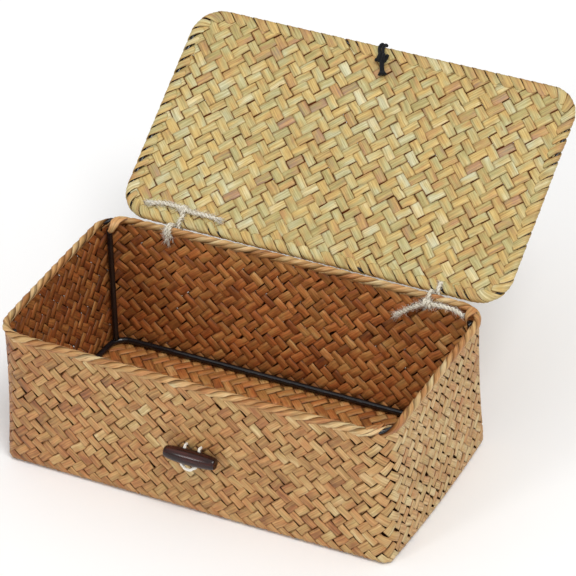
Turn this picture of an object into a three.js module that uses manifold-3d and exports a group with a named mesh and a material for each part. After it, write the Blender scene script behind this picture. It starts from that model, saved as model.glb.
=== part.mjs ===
// Woven straw box with a lid on twine ties, a wire frame and a loop-and-toggle closure.
// Millimetres, +Z up, front towards -Y. The box stands on Z = 0 and the lid is open at rest.
import * as THREE from 'three';
import { mergeVertices } from 'three/addons/utils/BufferGeometryUtils.js';
import Module from 'manifold-3d';

const wasm = await Module();
wasm.setup();

// Box: sizes over the base, how far the rim roll stands out past it, and the woven sheet
const BASE_LENGTH = 247.4;
const BASE_WIDTH = 133;
const BOX_HEIGHT = 92.4;
const RIM_FLARE_LENGTH = 3;
const RIM_FLARE_WIDTH = 3.6;
const RIM_CORNER = 17;
const BASE_CORNER = 5;
const CORNER_EASING = 2.5;
const RIM_LONG_SWELL = 1.3;
const RIM_SHORT_SWELL = 0.4;
const BASE_LONG_SWELL = 0.3;
const BASE_SHORT_SWELL = 1.8;
const WALL = 2.2;
const FLOOR = 3.4;
const RIM_ROLL = 4.4;

// Wire frame: a foot ring and four posts of one wire, and a thinner ring in the rim
const WIRE = 3.6;
const RIM_WIRE = 2.6;
const FOOT_RING_CORNER = 10;
const POST_OFF_WALL = 1;
const POST_DEGREES = 35;

// Lid: how far it reaches past the rim, its woven panel, folded hem and edge wire
const LID_OVERLAP_LENGTH = 0.2;
const LID_OVERLAP_WIDTH = 4.8;
const LID_CORNER = 19;
const LID_SHEET = 2.4;
const LID_WIRE = 2.6;
const HEM_EDGE = 5;
const HEM_DEPTH = 8;
const HEM_FOLD = 0.8;
const HEM_WRAP_DEGREES = 100;
const LID_SHIFT = 5.2;

// Twine hinge: the axis lies behind and above the back rim
const HINGE_BEHIND_RIM = 1.8;
const HINGE_ABOVE_RIM = 1.3;
const LID_LIFT = 2.8;
const LID_OPEN_DEGREES = 146;
const TWINE = 2.2;
const TIE_FROM_LID_END = 41.25;
const TIE_TURN_SPACING = 2.6;
const TIE_KNOT_LENGTH = 7;
const TIE_KNOT_DEPTH = 4.6;
const LID_TAIL_LEFT = 20.4;
const LID_TAIL_RIGHT = 23.6;
const RIM_TAIL_DOWN = 20;
const RIM_TAIL_LEVEL = 22;

// Closure: barrel toggle on a white cord, and an elastic loop on the lid
const TOGGLE_LENGTH = 32;
const TOGGLE_WAIST = 9.4;
const TOGGLE_END = 5.6;
const TOGGLE_HEIGHT = 44.3;
const TOGGLE_SHIFT = 3;
const TOGGLE_OFF_WALL = 0.5;
const TOGGLE_TILT_DEGREES = 30;
const TOGGLE_CORD = 1.8;
const TOGGLE_CORD_SPACING = 9.1;
const TOGGLE_CORD_RISE = 0.9;
const TOGGLE_CORD_SLACK = 2.4;
const TOGGLE_CORD_KNOT = 4.4;
const TOGGLE_CORD_KNOT_WIDTH = 6.2;
const ELASTIC = 2;
const ELASTIC_LOOP_LENGTH = 38;
const ELASTIC_LOOP_WIDTH = 12;
const ELASTIC_KNOT_WIDTH = 8.4;
const ELASTIC_KNOT_DEPTH = 6.2;
const ELASTIC_KNOT_HEIGHT = 3.4;
const ELASTIC_KNOT_INSET = 8.5;
const ELASTIC_TAIL_INSET = 18.5;
const ELASTIC_KNOT_LEAN = 4.5;
const ELASTIC_TAIL_LEAN = 8.5;
const ELASTIC_TAIL = 2.8;
const ELASTIC_TAIL_WIDTH = 5.6;
const ELASTIC_TAIL_DEPTH = 3.4;
const ELASTIC_SHIFT = 2;
const ELASTIC_PIVOT_DEGREES = 38;

// Clearance between neighbours, and between a cord and its hole
const GAP = 0.3;
const HOLE_CLEARANCE = 0.35;

// Facets
const WALL_LEVELS = [0, 0.06, 0.14, 0.26, 0.42, 0.62, 0.82, 1];
const ARC_STEPS = 6;
const SIDE_STEPS = 6;
const WIRE_SIDES = 8;
const CORD_SIDES = 8;
const CORD_STEPS_PER_POINT = 3;
const TURN_STEPS = 20;
const HALF_CIRCLE_STEPS = 8;
const LUMP_STEPS = 10;
const TOGGLE_STEPS = 12;
const TOGGLE_SIDES = 24;
const MERGE_TOLERANCE = 1e-4;

// Values that follow from the sizes above
const RIM_LENGTH = BASE_LENGTH + RIM_FLARE_LENGTH;
const RIM_WIDTH = BASE_WIDTH + RIM_FLARE_WIDTH;
const LID_LENGTH = RIM_LENGTH + LID_OVERLAP_LENGTH;
const LID_WIDTH = RIM_WIDTH + LID_OVERLAP_WIDTH;
const TIE_REACH = LID_LENGTH / 2 - TIE_FROM_LID_END;
const RIM_RADIUS = RIM_ROLL / 2;
const WIRE_RADIUS = WIRE / 2;
const RIM_WIRE_RADIUS = RIM_WIRE / 2;
const HEM_RADIUS = HEM_EDGE / 2;
const TWINE_RADIUS = TWINE / 2;
const ELASTIC_RADIUS = ELASTIC / 2;
const TOGGLE_RADIUS = TOGGLE_WAIST / 2;
const TOGGLE_TILT = THREE.MathUtils.degToRad(TOGGLE_TILT_DEGREES);
const TOGGLE_CORD_HEIGHT = TOGGLE_HEIGHT + TOGGLE_RADIUS * Math.cos(TOGGLE_TILT) + TOGGLE_CORD_RISE;
const RIM_OVERHANG = RIM_RADIUS - WALL / 2;
const RIM_CENTRE_Z = BOX_HEIGHT - RIM_RADIUS;
const WALL_TOP_Z = RIM_CENTRE_Z - RIM_WIRE_RADIUS - GAP;
const FOOT_RING_Z = FLOOR + GAP + WIRE_RADIUS;
const HINGE_Y = RIM_WIDTH / 2 + HINGE_BEHIND_RIM;
const HINGE_Z = BOX_HEIGHT + HINGE_ABOVE_RIM;
const LID_OPEN = THREE.MathUtils.degToRad(LID_OPEN_DEGREES);
const LID_Z = BOX_HEIGHT + LID_LIFT + HEM_RADIUS - HINGE_Z;

const lerp = THREE.MathUtils.lerp;
const vec = (x, y, z) => new THREE.Vector3(x, y, z);

const STRAW = { color: 0xbf9a5f, roughness: 0.72, metalness: 0 };
const PALE_STRAW = { color: 0xd5c48a, roughness: 0.68, metalness: 0 };
const RIM_STRAW = { color: 0xcfa766, roughness: 0.7, metalness: 0 };
const DARK_WIRE = { color: 0x241b1a, roughness: 0.38, metalness: 0.3 };
const JUTE = { color: 0xcbbfa0, roughness: 0.9, metalness: 0 };
const WHITE_CORD = { color: 0xece6d8, roughness: 0.85, metalness: 0 };
const DARK_WOOD = { color: 0x2c1613, roughness: 0.22, metalness: 0 };
const BLACK_ELASTIC = { color: 0x14161a, roughness: 0.8, metalness: 0 };

function node(name, geometry, finish) {
  const mesh = new THREE.Mesh(geometry, new THREE.MeshStandardMaterial(finish));
  mesh.name = name;
  return mesh;
}

// Solids for cutting and joining
function toSolid(geometry) {
  const bare = geometry.clone();
  bare.deleteAttribute('normal');
  bare.deleteAttribute('uv');
  const merged = mergeVertices(bare, MERGE_TOLERANCE);
  return new wasm.Manifold(new wasm.Mesh({
    numProp: 3,
    vertProperties: new Float32Array(merged.attributes.position.array),
    triVerts: new Uint32Array(merged.index.array),
  }));
}

function toGeometry(solid) {
  const mesh = solid.getMesh();
  const geometry = new THREE.BufferGeometry();
  geometry.setAttribute('position', new THREE.BufferAttribute(mesh.vertProperties, 3));
  geometry.setIndex(new THREE.BufferAttribute(mesh.triVerts, 1));
  geometry.computeVertexNormals();
  return geometry;
}

function cut(geometry, tools) {
  const solids = tools.map(toSolid);
  return toGeometry(solids.reduce((left, tool) => left.subtract(tool), toSolid(geometry)));
}

function join(geometries) {
  return toGeometry(geometries.map(toSolid).reduce((left, right) => left.add(right)));
}

// Outline of a rounded rectangle whose sides swell outwards, counter-clockwise from above
function roundedOutline({ halfX, halfY, radius, longSwell, shortSwell }) {
  const points = [];
  const corners = [[1, 1], [-1, 1], [-1, -1], [1, -1]];
  corners.forEach(([signX, signY], quarter) => {
    const centre = new THREE.Vector2(signX * (halfX - radius), signY * (halfY - radius));
    for (let step = 0; step <= ARC_STEPS; step += 1) {
      const angle = (quarter + step / ARC_STEPS) * Math.PI / 2;
      points.push(new THREE.Vector2(Math.cos(angle), Math.sin(angle)).multiplyScalar(radius).add(centre));
    }
    const alongX = quarter % 2 === 0;
    const run = alongX ? halfX - radius : halfY - radius;
    const swell = alongX ? longSwell : shortSwell;
    for (let step = 1; step < SIDE_STEPS; step += 1) {
      const share = 1 - 2 * step / SIDE_STEPS;
      const out = swell * (1 - share * share);
      const point = alongX
        ? new THREE.Vector2(signX * run * share, signY * (halfY + out))
        : new THREE.Vector2(signX * (halfX + out), signY * run * share);
      points.push(point);
    }
  });
  return points;
}

// The wall's outer face at a height, drawn inwards by an inset
function wallShape(z, inset) {
  const share = z / BOX_HEIGHT;
  const rounding = 1 - (1 - share) ** CORNER_EASING;
  const radius = lerp(BASE_CORNER, RIM_CORNER, rounding);
  return {
    halfX: lerp(BASE_LENGTH / 2, RIM_LENGTH / 2 - RIM_OVERHANG, share) - inset,
    halfY: lerp(BASE_WIDTH / 2, RIM_WIDTH / 2 - RIM_OVERHANG, share) - inset,
    radius: Math.max(radius - inset, BASE_CORNER / 2),
    longSwell: lerp(BASE_LONG_SWELL, RIM_LONG_SWELL, share),
    shortSwell: lerp(BASE_SHORT_SWELL, RIM_SHORT_SWELL, share),
  };
}

function wallRing(z, inset) {
  return roundedOutline(wallShape(z, inset)).map((point) => vec(point.x, point.y, z));
}

// Distance from the centre plane to the wall's outer face on the front or back, at a place along it
function wallReachY(z, x) {
  const shape = wallShape(z, 0);
  const share = x / (shape.halfX - shape.radius);
  return shape.halfY + shape.longSwell * (1 - share * share);
}

// Skin through rings of equal count, closed on itself or capped at its first and last ring
function skin(rings, closed) {
  const count = rings[0].length;
  const positions = rings.flat().flatMap((point) => point.toArray());
  const faces = [];
  const bands = closed ? rings.length : rings.length - 1;
  for (let band = 0; band < bands; band += 1) {
    const lower = band * count;
    const upper = ((band + 1) % rings.length) * count;
    for (let step = 0; step < count; step += 1) {
      const next = (step + 1) % count;
      faces.push(lower + step, lower + next, upper + next, lower + step, upper + next, upper + step);
    }
  }
  if (!closed) {
    [rings[0], rings[rings.length - 1]].forEach((ring, end) => {
      const centre = ring.reduce((sum, point) => sum.add(point), new THREE.Vector3()).divideScalar(count);
      const hub = positions.length / 3;
      const base = end * (rings.length - 1) * count;
      positions.push(...centre.toArray());
      for (let step = 0; step < count; step += 1) {
        const next = (step + 1) % count;
        const face = end === 0 ? [hub, base + next, base + step] : [hub, base + step, base + next];
        faces.push(...face);
      }
    });
  }
  const geometry = new THREE.BufferGeometry();
  geometry.setAttribute('position', new THREE.Float32BufferAttribute(positions, 3));
  geometry.setIndex(faces);
  geometry.computeVertexNormals();
  return geometry;
}

// Sweep of a section round an outline: section x runs outwards, section y runs up
function sweep(outline, section, z) {
  const count = outline.length;
  const normals = outline.map((point, step) => {
    const before = outline[(step + count - 1) % count];
    const after = outline[(step + 1) % count];
    return new THREE.Vector2(after.y - before.y, before.x - after.x).normalize();
  });
  const rings = section.map((place) => outline.map((point, step) => vec(
    point.x + normals[step].x * place.x,
    point.y + normals[step].y * place.x,
    z + place.y,
  )));
  return skin(rings, true);
}

function arc(radius, fromDegrees, toDegrees, steps) {
  const points = [];
  for (let step = 0; step <= steps; step += 1) {
    const angle = THREE.MathUtils.degToRad(lerp(fromDegrees, toDegrees, step / steps));
    points.push(new THREE.Vector2(radius * Math.cos(angle), radius * Math.sin(angle)));
  }
  return points;
}

function polygon(radius, sides) {
  return arc(radius, 0, 360 * (1 - 1 / sides), sides - 1);
}

// Tube through points, as a cord or wire
function tube(points, diameter) {
  return new THREE.ExtrudeGeometry(new THREE.Shape(polygon(diameter / 2, CORD_SIDES)), {
    steps: points.length * CORD_STEPS_PER_POINT,
    bevelEnabled: false,
    extrudePath: new THREE.CatmullRomCurve3(points),
  });
}

// Straight round bar between two points
function bar(from, to, diameter, sides) {
  const along = to.clone().sub(from);
  const geometry = new THREE.CylinderGeometry(diameter / 2, diameter / 2, along.length(), sides);
  const upright = new THREE.Quaternion().setFromUnitVectors(vec(0, 1, 0), along.clone().normalize());
  geometry.applyQuaternion(upright);
  const middle = from.clone().lerp(to, 0.5);
  geometry.translate(middle.x, middle.y, middle.z);
  return geometry;
}

// Ring of cord in a plane across X
function turn(x, y, z, radius, diameter) {
  const geometry = new THREE.TorusGeometry(radius, diameter / 2, CORD_SIDES, TURN_STEPS);
  geometry.rotateY(Math.PI / 2);
  geometry.translate(x, y, z);
  return geometry;
}

function lump(sizeX, sizeY, sizeZ, centre) {
  const geometry = new THREE.SphereGeometry(0.5, LUMP_STEPS, LUMP_STEPS - 2);
  geometry.scale(sizeX, sizeY, sizeZ);
  geometry.translate(centre.x, centre.y, centre.z);
  return geometry;
}

// Places of the two ties and the turns of twine round the rim and round the lid hem
const RIM_TURN_RADIUS = RIM_RADIUS + GAP + TWINE_RADIUS;
const HEM_TURN_RADIUS = HEM_RADIUS + GAP + TWINE_RADIUS;
const TIES = [
  { side: 'left', x: LID_SHIFT - TIE_REACH },
  { side: 'right', x: LID_SHIFT + TIE_REACH },
];
const rimTurnX = (tie) => tie.x - TIE_TURN_SPACING / 2;
const hemTurnX = (tie) => tie.x + TIE_TURN_SPACING / 2;
const rimCentreY = (x) => wallReachY(RIM_CENTRE_Z, x) - WALL / 2;

// A turn bends as it passes through a sheet, so its hole is wider by the depth of that bend
const bend = (radius, thickness) => radius - Math.sqrt(radius ** 2 - (thickness / 2) ** 2);

// Woven body: a flat base with pinched corners whose walls round off towards the rim
function wovenBody() {
  const heights = WALL_LEVELS.map((share) => share * WALL_TOP_Z);
  const outside = heights.map((z) => wallRing(z, 0));
  const inside = heights.filter((z) => z > FLOOR).map((z) => wallRing(z, WALL)).reverse();
  const shell = skin([...outside, ...inside, wallRing(FLOOR, WALL)], false);
  const tieBend = bend(RIM_TURN_RADIUS, WALL);
  const tieZ = RIM_CENTRE_Z - RIM_TURN_RADIUS + tieBend / 2;
  const tieHoles = TIES.map((tie) => bar(
    vec(rimTurnX(tie), rimCentreY(tie.x) - RIM_ROLL, tieZ),
    vec(rimTurnX(tie), rimCentreY(tie.x) + RIM_ROLL, tieZ),
    TWINE + 2 * HOLE_CLEARANCE + tieBend,
    CORD_SIDES,
  ));
  const cordY = -wallReachY(TOGGLE_CORD_HEIGHT, TOGGLE_SHIFT);
  const toggleHoles = [-1, 1].map((side) => bar(
    vec(TOGGLE_SHIFT + side * TOGGLE_CORD_SPACING / 2, cordY - WALL, TOGGLE_CORD_HEIGHT),
    vec(TOGGLE_SHIFT + side * TOGGLE_CORD_SPACING / 2, cordY + 2 * WALL, TOGGLE_CORD_HEIGHT),
    TOGGLE_CORD + 2 * HOLE_CLEARANCE,
    CORD_SIDES,
  ));
  return cut(shell, [...tieHoles, ...toggleHoles]);
}

// Centre line of the rim roll and of the wire inside it
function rimOutline() {
  return roundedOutline(wallShape(RIM_CENTRE_Z, WALL / 2));
}

// Ends of the post in one corner: on the foot ring, and beside the ring in the rim
function postEnds(signX, signY, footShape) {
  const angle = THREE.MathUtils.degToRad(POST_DEGREES);
  const topShape = wallShape(RIM_CENTRE_Z, WALL + POST_OFF_WALL + WIRE_RADIUS);
  const cornerPoint = (shape, z) => vec(
    signX * (shape.halfX - shape.radius * (1 - Math.cos(angle))),
    signY * (shape.halfY - shape.radius * (1 - Math.sin(angle))),
    z,
  );
  return {
    foot: cornerPoint(footShape, FOOT_RING_Z + WIRE_RADIUS + GAP),
    top: cornerPoint(topShape, RIM_CENTRE_Z),
  };
}

function footRingShape() {
  const shape = wallShape(FOOT_RING_Z, WALL + GAP + WIRE_RADIUS);
  return { ...shape, radius: FOOT_RING_CORNER };
}

const POSTS = [
  { name: 'frame_post_back_left', x: -1, y: 1 },
  { name: 'frame_post_back_right', x: 1, y: 1 },
  { name: 'frame_post_front_left', x: -1, y: -1 },
  { name: 'frame_post_front_right', x: 1, y: -1 },
].map((post) => ({ ...post, ...postEnds(post.x, post.y, footRingShape()) }));

// Rim roll: strips folded over the wire, open below for the wall and beside each post
function rimRoll() {
  const bore = RIM_WIRE_RADIUS + GAP;
  const slot = WALL / 2 + GAP;
  const outerSlot = THREE.MathUtils.radToDeg(Math.asin(slot / RIM_RADIUS));
  const innerSlot = THREE.MathUtils.radToDeg(Math.asin(slot / bore));
  const section = [
    ...arc(RIM_RADIUS, outerSlot - 90, 270 - outerSlot, HALF_CIRCLE_STEPS + 2),
    ...arc(bore, 270 - innerSlot, innerSlot - 90, HALF_CIRCLE_STEPS - 2),
  ];
  const roll = sweep(rimOutline(), section, RIM_CENTRE_Z);
  const postCuts = POSTS.map((post) => {
    const past = post.top.clone().sub(post.foot).setLength(WIRE);
    return bar(post.foot, post.top.clone().add(past), WIRE + 2 * GAP, WIRE_SIDES);
  });
  return cut(roll, postCuts);
}

function frame() {
  const group = new THREE.Group();
  const footOutline = roundedOutline(footRingShape());
  const footSection = polygon(WIRE_RADIUS, WIRE_SIDES);
  const rimSection = polygon(RIM_WIRE_RADIUS, WIRE_SIDES);
  group.add(node('frame_foot_ring', sweep(footOutline, footSection, FOOT_RING_Z), DARK_WIRE));
  group.add(node('frame_rim_ring', sweep(rimOutline(), rimSection, RIM_CENTRE_Z), DARK_WIRE));
  POSTS.forEach((post) => {
    group.add(node(post.name, bar(post.foot, post.top, WIRE, WIRE_SIDES), DARK_WIRE));
  });
  return group;
}

// Lid, built closed round the hinge axis: its inner face looks down
const LID_REAR_Y = LID_WIDTH / 2 - HINGE_Y;
const LID_CENTRE_Y = LID_REAR_Y - LID_WIDTH / 2;
const LID_FRONT_Y = LID_REAR_Y - LID_WIDTH;
const HEM_REAR_Y = LID_REAR_Y - HEM_RADIUS;
const HEM_FRONT_Y = LID_FRONT_Y + HEM_RADIUS;
const HEM_FACE = LID_SHEET / 2 + HEM_FOLD;

function lidOutline(inset) {
  const outline = roundedOutline({
    halfX: LID_LENGTH / 2 - inset,
    halfY: LID_WIDTH / 2 - inset,
    radius: LID_CORNER - inset,
    longSwell: 0,
    shortSwell: 0,
  });
  return outline.map((point) => new THREE.Vector2(point.x + LID_SHIFT, point.y + LID_CENTRE_Y));
}

function lidTieHoles() {
  const tieBend = bend(HEM_TURN_RADIUS, HEM_EDGE);
  const y = HEM_REAR_Y - HEM_TURN_RADIUS + tieBend / 2;
  return TIES.map((tie) => bar(
    vec(hemTurnX(tie), y, LID_Z - HEM_EDGE),
    vec(hemTurnX(tie), y, LID_Z + HEM_EDGE),
    TWINE + 2 * HOLE_CLEARANCE + tieBend,
    CORD_SIDES,
  ));
}

function lidPanel() {
  const edge = HEM_RADIUS + LID_WIRE / 2 + GAP;
  const rings = [-1, 1].map((side) => lidOutline(edge).map(
    (point) => vec(point.x, point.y, LID_Z + side * LID_SHEET / 2),
  ));
  return cut(skin(rings, false), lidTieHoles());
}

// Hem: strips folded round the edge wire and down both faces of the panel
function lidHem() {
  const bore = LID_WIRE / 2 + GAP;
  const slot = LID_SHEET / 2 + GAP;
  const bite = THREE.MathUtils.radToDeg(Math.asin(slot / bore));
  const legEnd = HEM_RADIUS - HEM_DEPTH;
  const section = [
    new THREE.Vector2(legEnd, -slot),
    new THREE.Vector2(legEnd, -HEM_FACE),
    ...arc(HEM_RADIUS, -HEM_WRAP_DEGREES, HEM_WRAP_DEGREES, HALF_CIRCLE_STEPS),
    new THREE.Vector2(legEnd, HEM_FACE),
    new THREE.Vector2(legEnd, slot),
    ...arc(bore, 180 - bite, bite - 180, HALF_CIRCLE_STEPS - 2),
  ];
  return cut(sweep(lidOutline(HEM_RADIUS), section, LID_Z), lidTieHoles());
}

function lidWire() {
  return sweep(lidOutline(HEM_RADIUS), polygon(LID_WIRE / 2, WIRE_SIDES), LID_Z);
}

// Tail of a knot: a run of twine of a given length, through points given in shares of that length
function tail(knot, length, shares) {
  return tube(shares.map((share) => vec(...share).multiplyScalar(length).add(knot)), TWINE);
}

// Knot of the left tie: it lies on the lid's inner face with its two tails
function lidTieKnot(tie) {
  const z = LID_Z - LID_SHEET / 2 - GAP - TWINE_RADIUS;
  const knot = vec(tie.x, HEM_REAR_Y - HEM_TURN_RADIUS - TWINE - GAP - TIE_KNOT_DEPTH / 2, z);
  return join([
    lump(TIE_KNOT_LENGTH, TIE_KNOT_DEPTH, TWINE, knot),
    tail(knot, LID_TAIL_LEFT, [[0, 0, 0], [-0.35, -0.03, 0], [-0.7, -0.02, 0], [-1, 0.06, 0]]),
    tail(knot, LID_TAIL_RIGHT, [[0, 0, 0], [0.3, 0.04, 0], [0.65, 0.02, 0], [1, 0.05, 0]]),
  ]);
}

// Knot of the right tie: it sits inside the rim and its tails lie along the rim and down the wall
function rimTieKnot(tie) {
  const reach = RIM_RADIUS + GAP + TWINE + GAP + TIE_KNOT_DEPTH / 2;
  const knot = vec(tie.x, rimCentreY(tie.x) - reach, RIM_CENTRE_Z + GAP);
  return join([
    lump(TIE_KNOT_LENGTH, TIE_KNOT_DEPTH, TIE_KNOT_DEPTH, knot),
    tail(knot, RIM_TAIL_DOWN, [[0, 0, 0], [-0.35, 0.02, -0.18], [-0.7, 0.07, -0.45], [-1, 0.11, -0.7]]),
    tail(knot, RIM_TAIL_LEVEL, [[0, 0, 0], [0.36, 0.02, 0.02], [0.77, 0.04, -0.02], [1, 0.02, -0.11]]),
  ]);
}

// Elastic on the lid: a knot on the inner face, its tail, and two strands over the front hem
const ELASTIC_TURN = HEM_RADIUS + GAP + ELASTIC_RADIUS;
const ELASTIC_STRAND_X = (ELASTIC + GAP) / 2;
const ELASTIC_LOOP_X = 3 * ELASTIC_STRAND_X;
const ELASTIC_PIVOT_REACH = HEM_RADIUS + ELASTIC_RADIUS + 2 * GAP;
const ELASTIC_PIVOT = THREE.MathUtils.degToRad(ELASTIC_PIVOT_DEGREES);

function elasticKnot() {
  const face = LID_Z - HEM_FACE - GAP;
  const knot = vec(ELASTIC_KNOT_LEAN, LID_FRONT_Y + ELASTIC_KNOT_INSET, face - ELASTIC_KNOT_HEIGHT / 2);
  const strands = [-1, 1].map((side) => {
    const place = (angle) => vec(
      ELASTIC_SHIFT + side * ELASTIC_STRAND_X,
      HEM_FRONT_Y + ELASTIC_TURN * Math.cos(angle),
      LID_Z + ELASTIC_TURN * Math.sin(angle),
    );
    const over = [-0.5, -0.625, -0.75, -0.875, -1].map((share) => place(share * Math.PI));
    return tube([vec(knot.x + side * ELASTIC_STRAND_X, knot.y, knot.z), ...over], ELASTIC);
  });
  const tailZ = LID_Z - LID_SHEET / 2 - GAP - ELASTIC_TAIL / 2;
  const tailEnd = vec(ELASTIC_TAIL_LEAN, LID_FRONT_Y + ELASTIC_TAIL_INSET, tailZ);
  const tailMiddle = vec((knot.x + tailEnd.x) / 2, (knot.y + tailEnd.y) / 2, tailZ - GAP);
  return join([
    lump(ELASTIC_KNOT_WIDTH, ELASTIC_KNOT_DEPTH, ELASTIC_KNOT_HEIGHT, knot),
    ...strands,
    tube([knot, tailMiddle, tailEnd], ELASTIC_TAIL),
    lump(ELASTIC_TAIL_WIDTH, ELASTIC_TAIL_DEPTH, ELASTIC_TAIL, tailEnd),
  ]);
}

// Elastic loop: it swings on its two strands at the lid's front edge and hangs straight down at rest
function elasticLoop() {
  const half = ELASTIC_LOOP_WIDTH / 2;
  const right = [
    [ELASTIC_LOOP_X, 0],
    [ELASTIC_LOOP_X, -0.12],
    [0.82 * half, -0.4],
    [half, -0.68],
    [0.72 * half, -0.92],
  ].map(([x, share]) => vec(x, 0, share * ELASTIC_LOOP_LENGTH));
  const left = right.map((point) => vec(-point.x, 0, point.z)).reverse();
  const loop = new THREE.Group();
  loop.position.set(
    ELASTIC_SHIFT,
    HEM_FRONT_Y - ELASTIC_PIVOT_REACH * Math.cos(ELASTIC_PIVOT),
    LID_Z + ELASTIC_PIVOT_REACH * Math.sin(ELASTIC_PIVOT),
  );
  loop.rotation.x = LID_OPEN;
  const points = [...right, vec(0, 0, -ELASTIC_LOOP_LENGTH), ...left];
  loop.add(node('closure_loop', tube(points, ELASTIC), BLACK_ELASTIC));
  return loop;
}

function lid() {
  const group = new THREE.Group();
  group.position.set(0, HINGE_Y, HINGE_Z);
  group.rotation.x = -LID_OPEN;
  group.add(node('lid_panel', lidPanel(), PALE_STRAW));
  group.add(node('lid_hem', lidHem(), PALE_STRAW));
  group.add(node('lid_edge_wire', lidWire(), DARK_WIRE));
  TIES.forEach((tie) => {
    const hemTurn = turn(hemTurnX(tie), HEM_REAR_Y, LID_Z, HEM_TURN_RADIUS, TWINE);
    group.add(node(`tie_${tie.side}_lid_turn`, hemTurn, JUTE));
  });
  group.add(node('tie_left_knot', lidTieKnot(TIES[0]), JUTE));
  group.add(node('closure_loop_knot', elasticKnot(), BLACK_ELASTIC));
  group.add(elasticLoop());
  return group;
}

// Toggle: a barrel with flat ends, drilled aslant for the cord that it hangs on. It turns about the place
// where that cord leaves the wall.
const TOGGLE_AXIS_Y = -wallReachY(TOGGLE_CORD_HEIGHT, TOGGLE_SHIFT) - GAP - TOGGLE_CORD;
const TOGGLE_BACK_Y = -wallReachY(TOGGLE_HEIGHT, TOGGLE_SHIFT) - TOGGLE_OFF_WALL;
const TOGGLE_CENTRE_Y = TOGGLE_BACK_Y - TOGGLE_RADIUS - TOGGLE_AXIS_Y;
const TOGGLE_CENTRE_Z = TOGGLE_HEIGHT - TOGGLE_CORD_HEIGHT;

// A place beside the barrel's middle, along the slant of its holes: upwards and towards the wall
function alongHole(x, distance) {
  return vec(
    x,
    TOGGLE_CENTRE_Y + distance * Math.sin(TOGGLE_TILT),
    TOGGLE_CENTRE_Z + distance * Math.cos(TOGGLE_TILT),
  );
}

function toggleBarrel() {
  const half = TOGGLE_LENGTH / 2;
  const endRadius = TOGGLE_END / 2;
  const profile = [new THREE.Vector2(0, -half)];
  for (let step = 0; step <= TOGGLE_STEPS; step += 1) {
    const share = 2 * step / TOGGLE_STEPS - 1;
    const fullness = Math.sqrt(1 - share * share);
    profile.push(new THREE.Vector2(lerp(endRadius, TOGGLE_RADIUS, fullness), share * half));
  }
  profile.push(new THREE.Vector2(0, half));
  const barrel = new THREE.LatheGeometry(profile, TOGGLE_SIDES);
  barrel.rotateZ(Math.PI / 2);
  barrel.translate(0, TOGGLE_CENTRE_Y, TOGGLE_CENTRE_Z);
  const holes = [-1, 1].map((side) => bar(
    alongHole(side * TOGGLE_CORD_SPACING / 2, -TOGGLE_WAIST),
    alongHole(side * TOGGLE_CORD_SPACING / 2, TOGGLE_WAIST),
    TOGGLE_CORD + 2 * HOLE_CLEARANCE,
    CORD_SIDES,
  ));
  return cut(barrel, holes);
}

// White cord: from the wall down through the toggle and across below it
function toggleCord() {
  const x = TOGGLE_CORD_SPACING / 2;
  const lowest = -TOGGLE_RADIUS - TOGGLE_CORD_SLACK;
  const down = [
    vec(x, 0, 0),
    alongHole(x, TOGGLE_RADIUS),
    alongHole(x, 0),
    alongHole(x, -TOGGLE_RADIUS),
    alongHole(0.72 * x, 0.8 * lowest - 0.2 * TOGGLE_RADIUS),
  ];
  const up = down.map((point) => vec(-point.x, point.y, point.z)).reverse();
  return tube([...down, alongHole(0, lowest), ...up], TOGGLE_CORD);
}

function toggle() {
  const group = new THREE.Group();
  group.position.set(TOGGLE_SHIFT, TOGGLE_AXIS_Y, TOGGLE_CORD_HEIGHT);
  group.add(node('toggle_barrel', toggleBarrel(), DARK_WOOD));
  group.add(node('toggle_cord', toggleCord(), WHITE_CORD));
  return group;
}

// Inside the front wall the cord's two ends meet in a knot
function toggleCordKnot() {
  const outside = -wallReachY(TOGGLE_CORD_HEIGHT, TOGGLE_SHIFT);
  const inside = outside + WALL;
  const knot = vec(TOGGLE_SHIFT, inside + GAP + TOGGLE_CORD_KNOT / 2, TOGGLE_CORD_HEIGHT);
  const ends = [-1, 1].map((side) => tube([
    vec(knot.x + side * TOGGLE_CORD_SPACING / 2, outside - GAP, knot.z),
    vec(knot.x + side * TOGGLE_CORD_SPACING / 2, inside + TOGGLE_CORD, knot.z),
    vec(knot.x + side * TOGGLE_CORD_SPACING / 4, knot.y, knot.z),
    knot,
  ], TOGGLE_CORD));
  return join([lump(TOGGLE_CORD_KNOT_WIDTH, TOGGLE_CORD_KNOT, TOGGLE_CORD_KNOT, knot), ...ends]);
}

const box = new THREE.Group();
box.name = 'woven_lidded_box';
box.add(node('woven_body', wovenBody(), STRAW));
box.add(node('rim_roll', rimRoll(), RIM_STRAW));
box.add(frame());
TIES.forEach((tie) => {
  const rimTurn = turn(rimTurnX(tie), rimCentreY(tie.x), RIM_CENTRE_Z, RIM_TURN_RADIUS, TWINE);
  box.add(node(`tie_${tie.side}_rim_turn`, rimTurn, JUTE));
});
box.add(node('tie_right_knot', rimTieKnot(TIES[1]), JUTE));
box.add(node('toggle_cord_knot', toggleCordKnot(), WHITE_CORD));
box.add(toggle());
box.add(lid());

export default box;
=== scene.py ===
"""Woven straw box with its lid open: the visual model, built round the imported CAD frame."""

import math

import bpy
import numpy as np
from mathutils import Matrix, Vector


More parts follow.
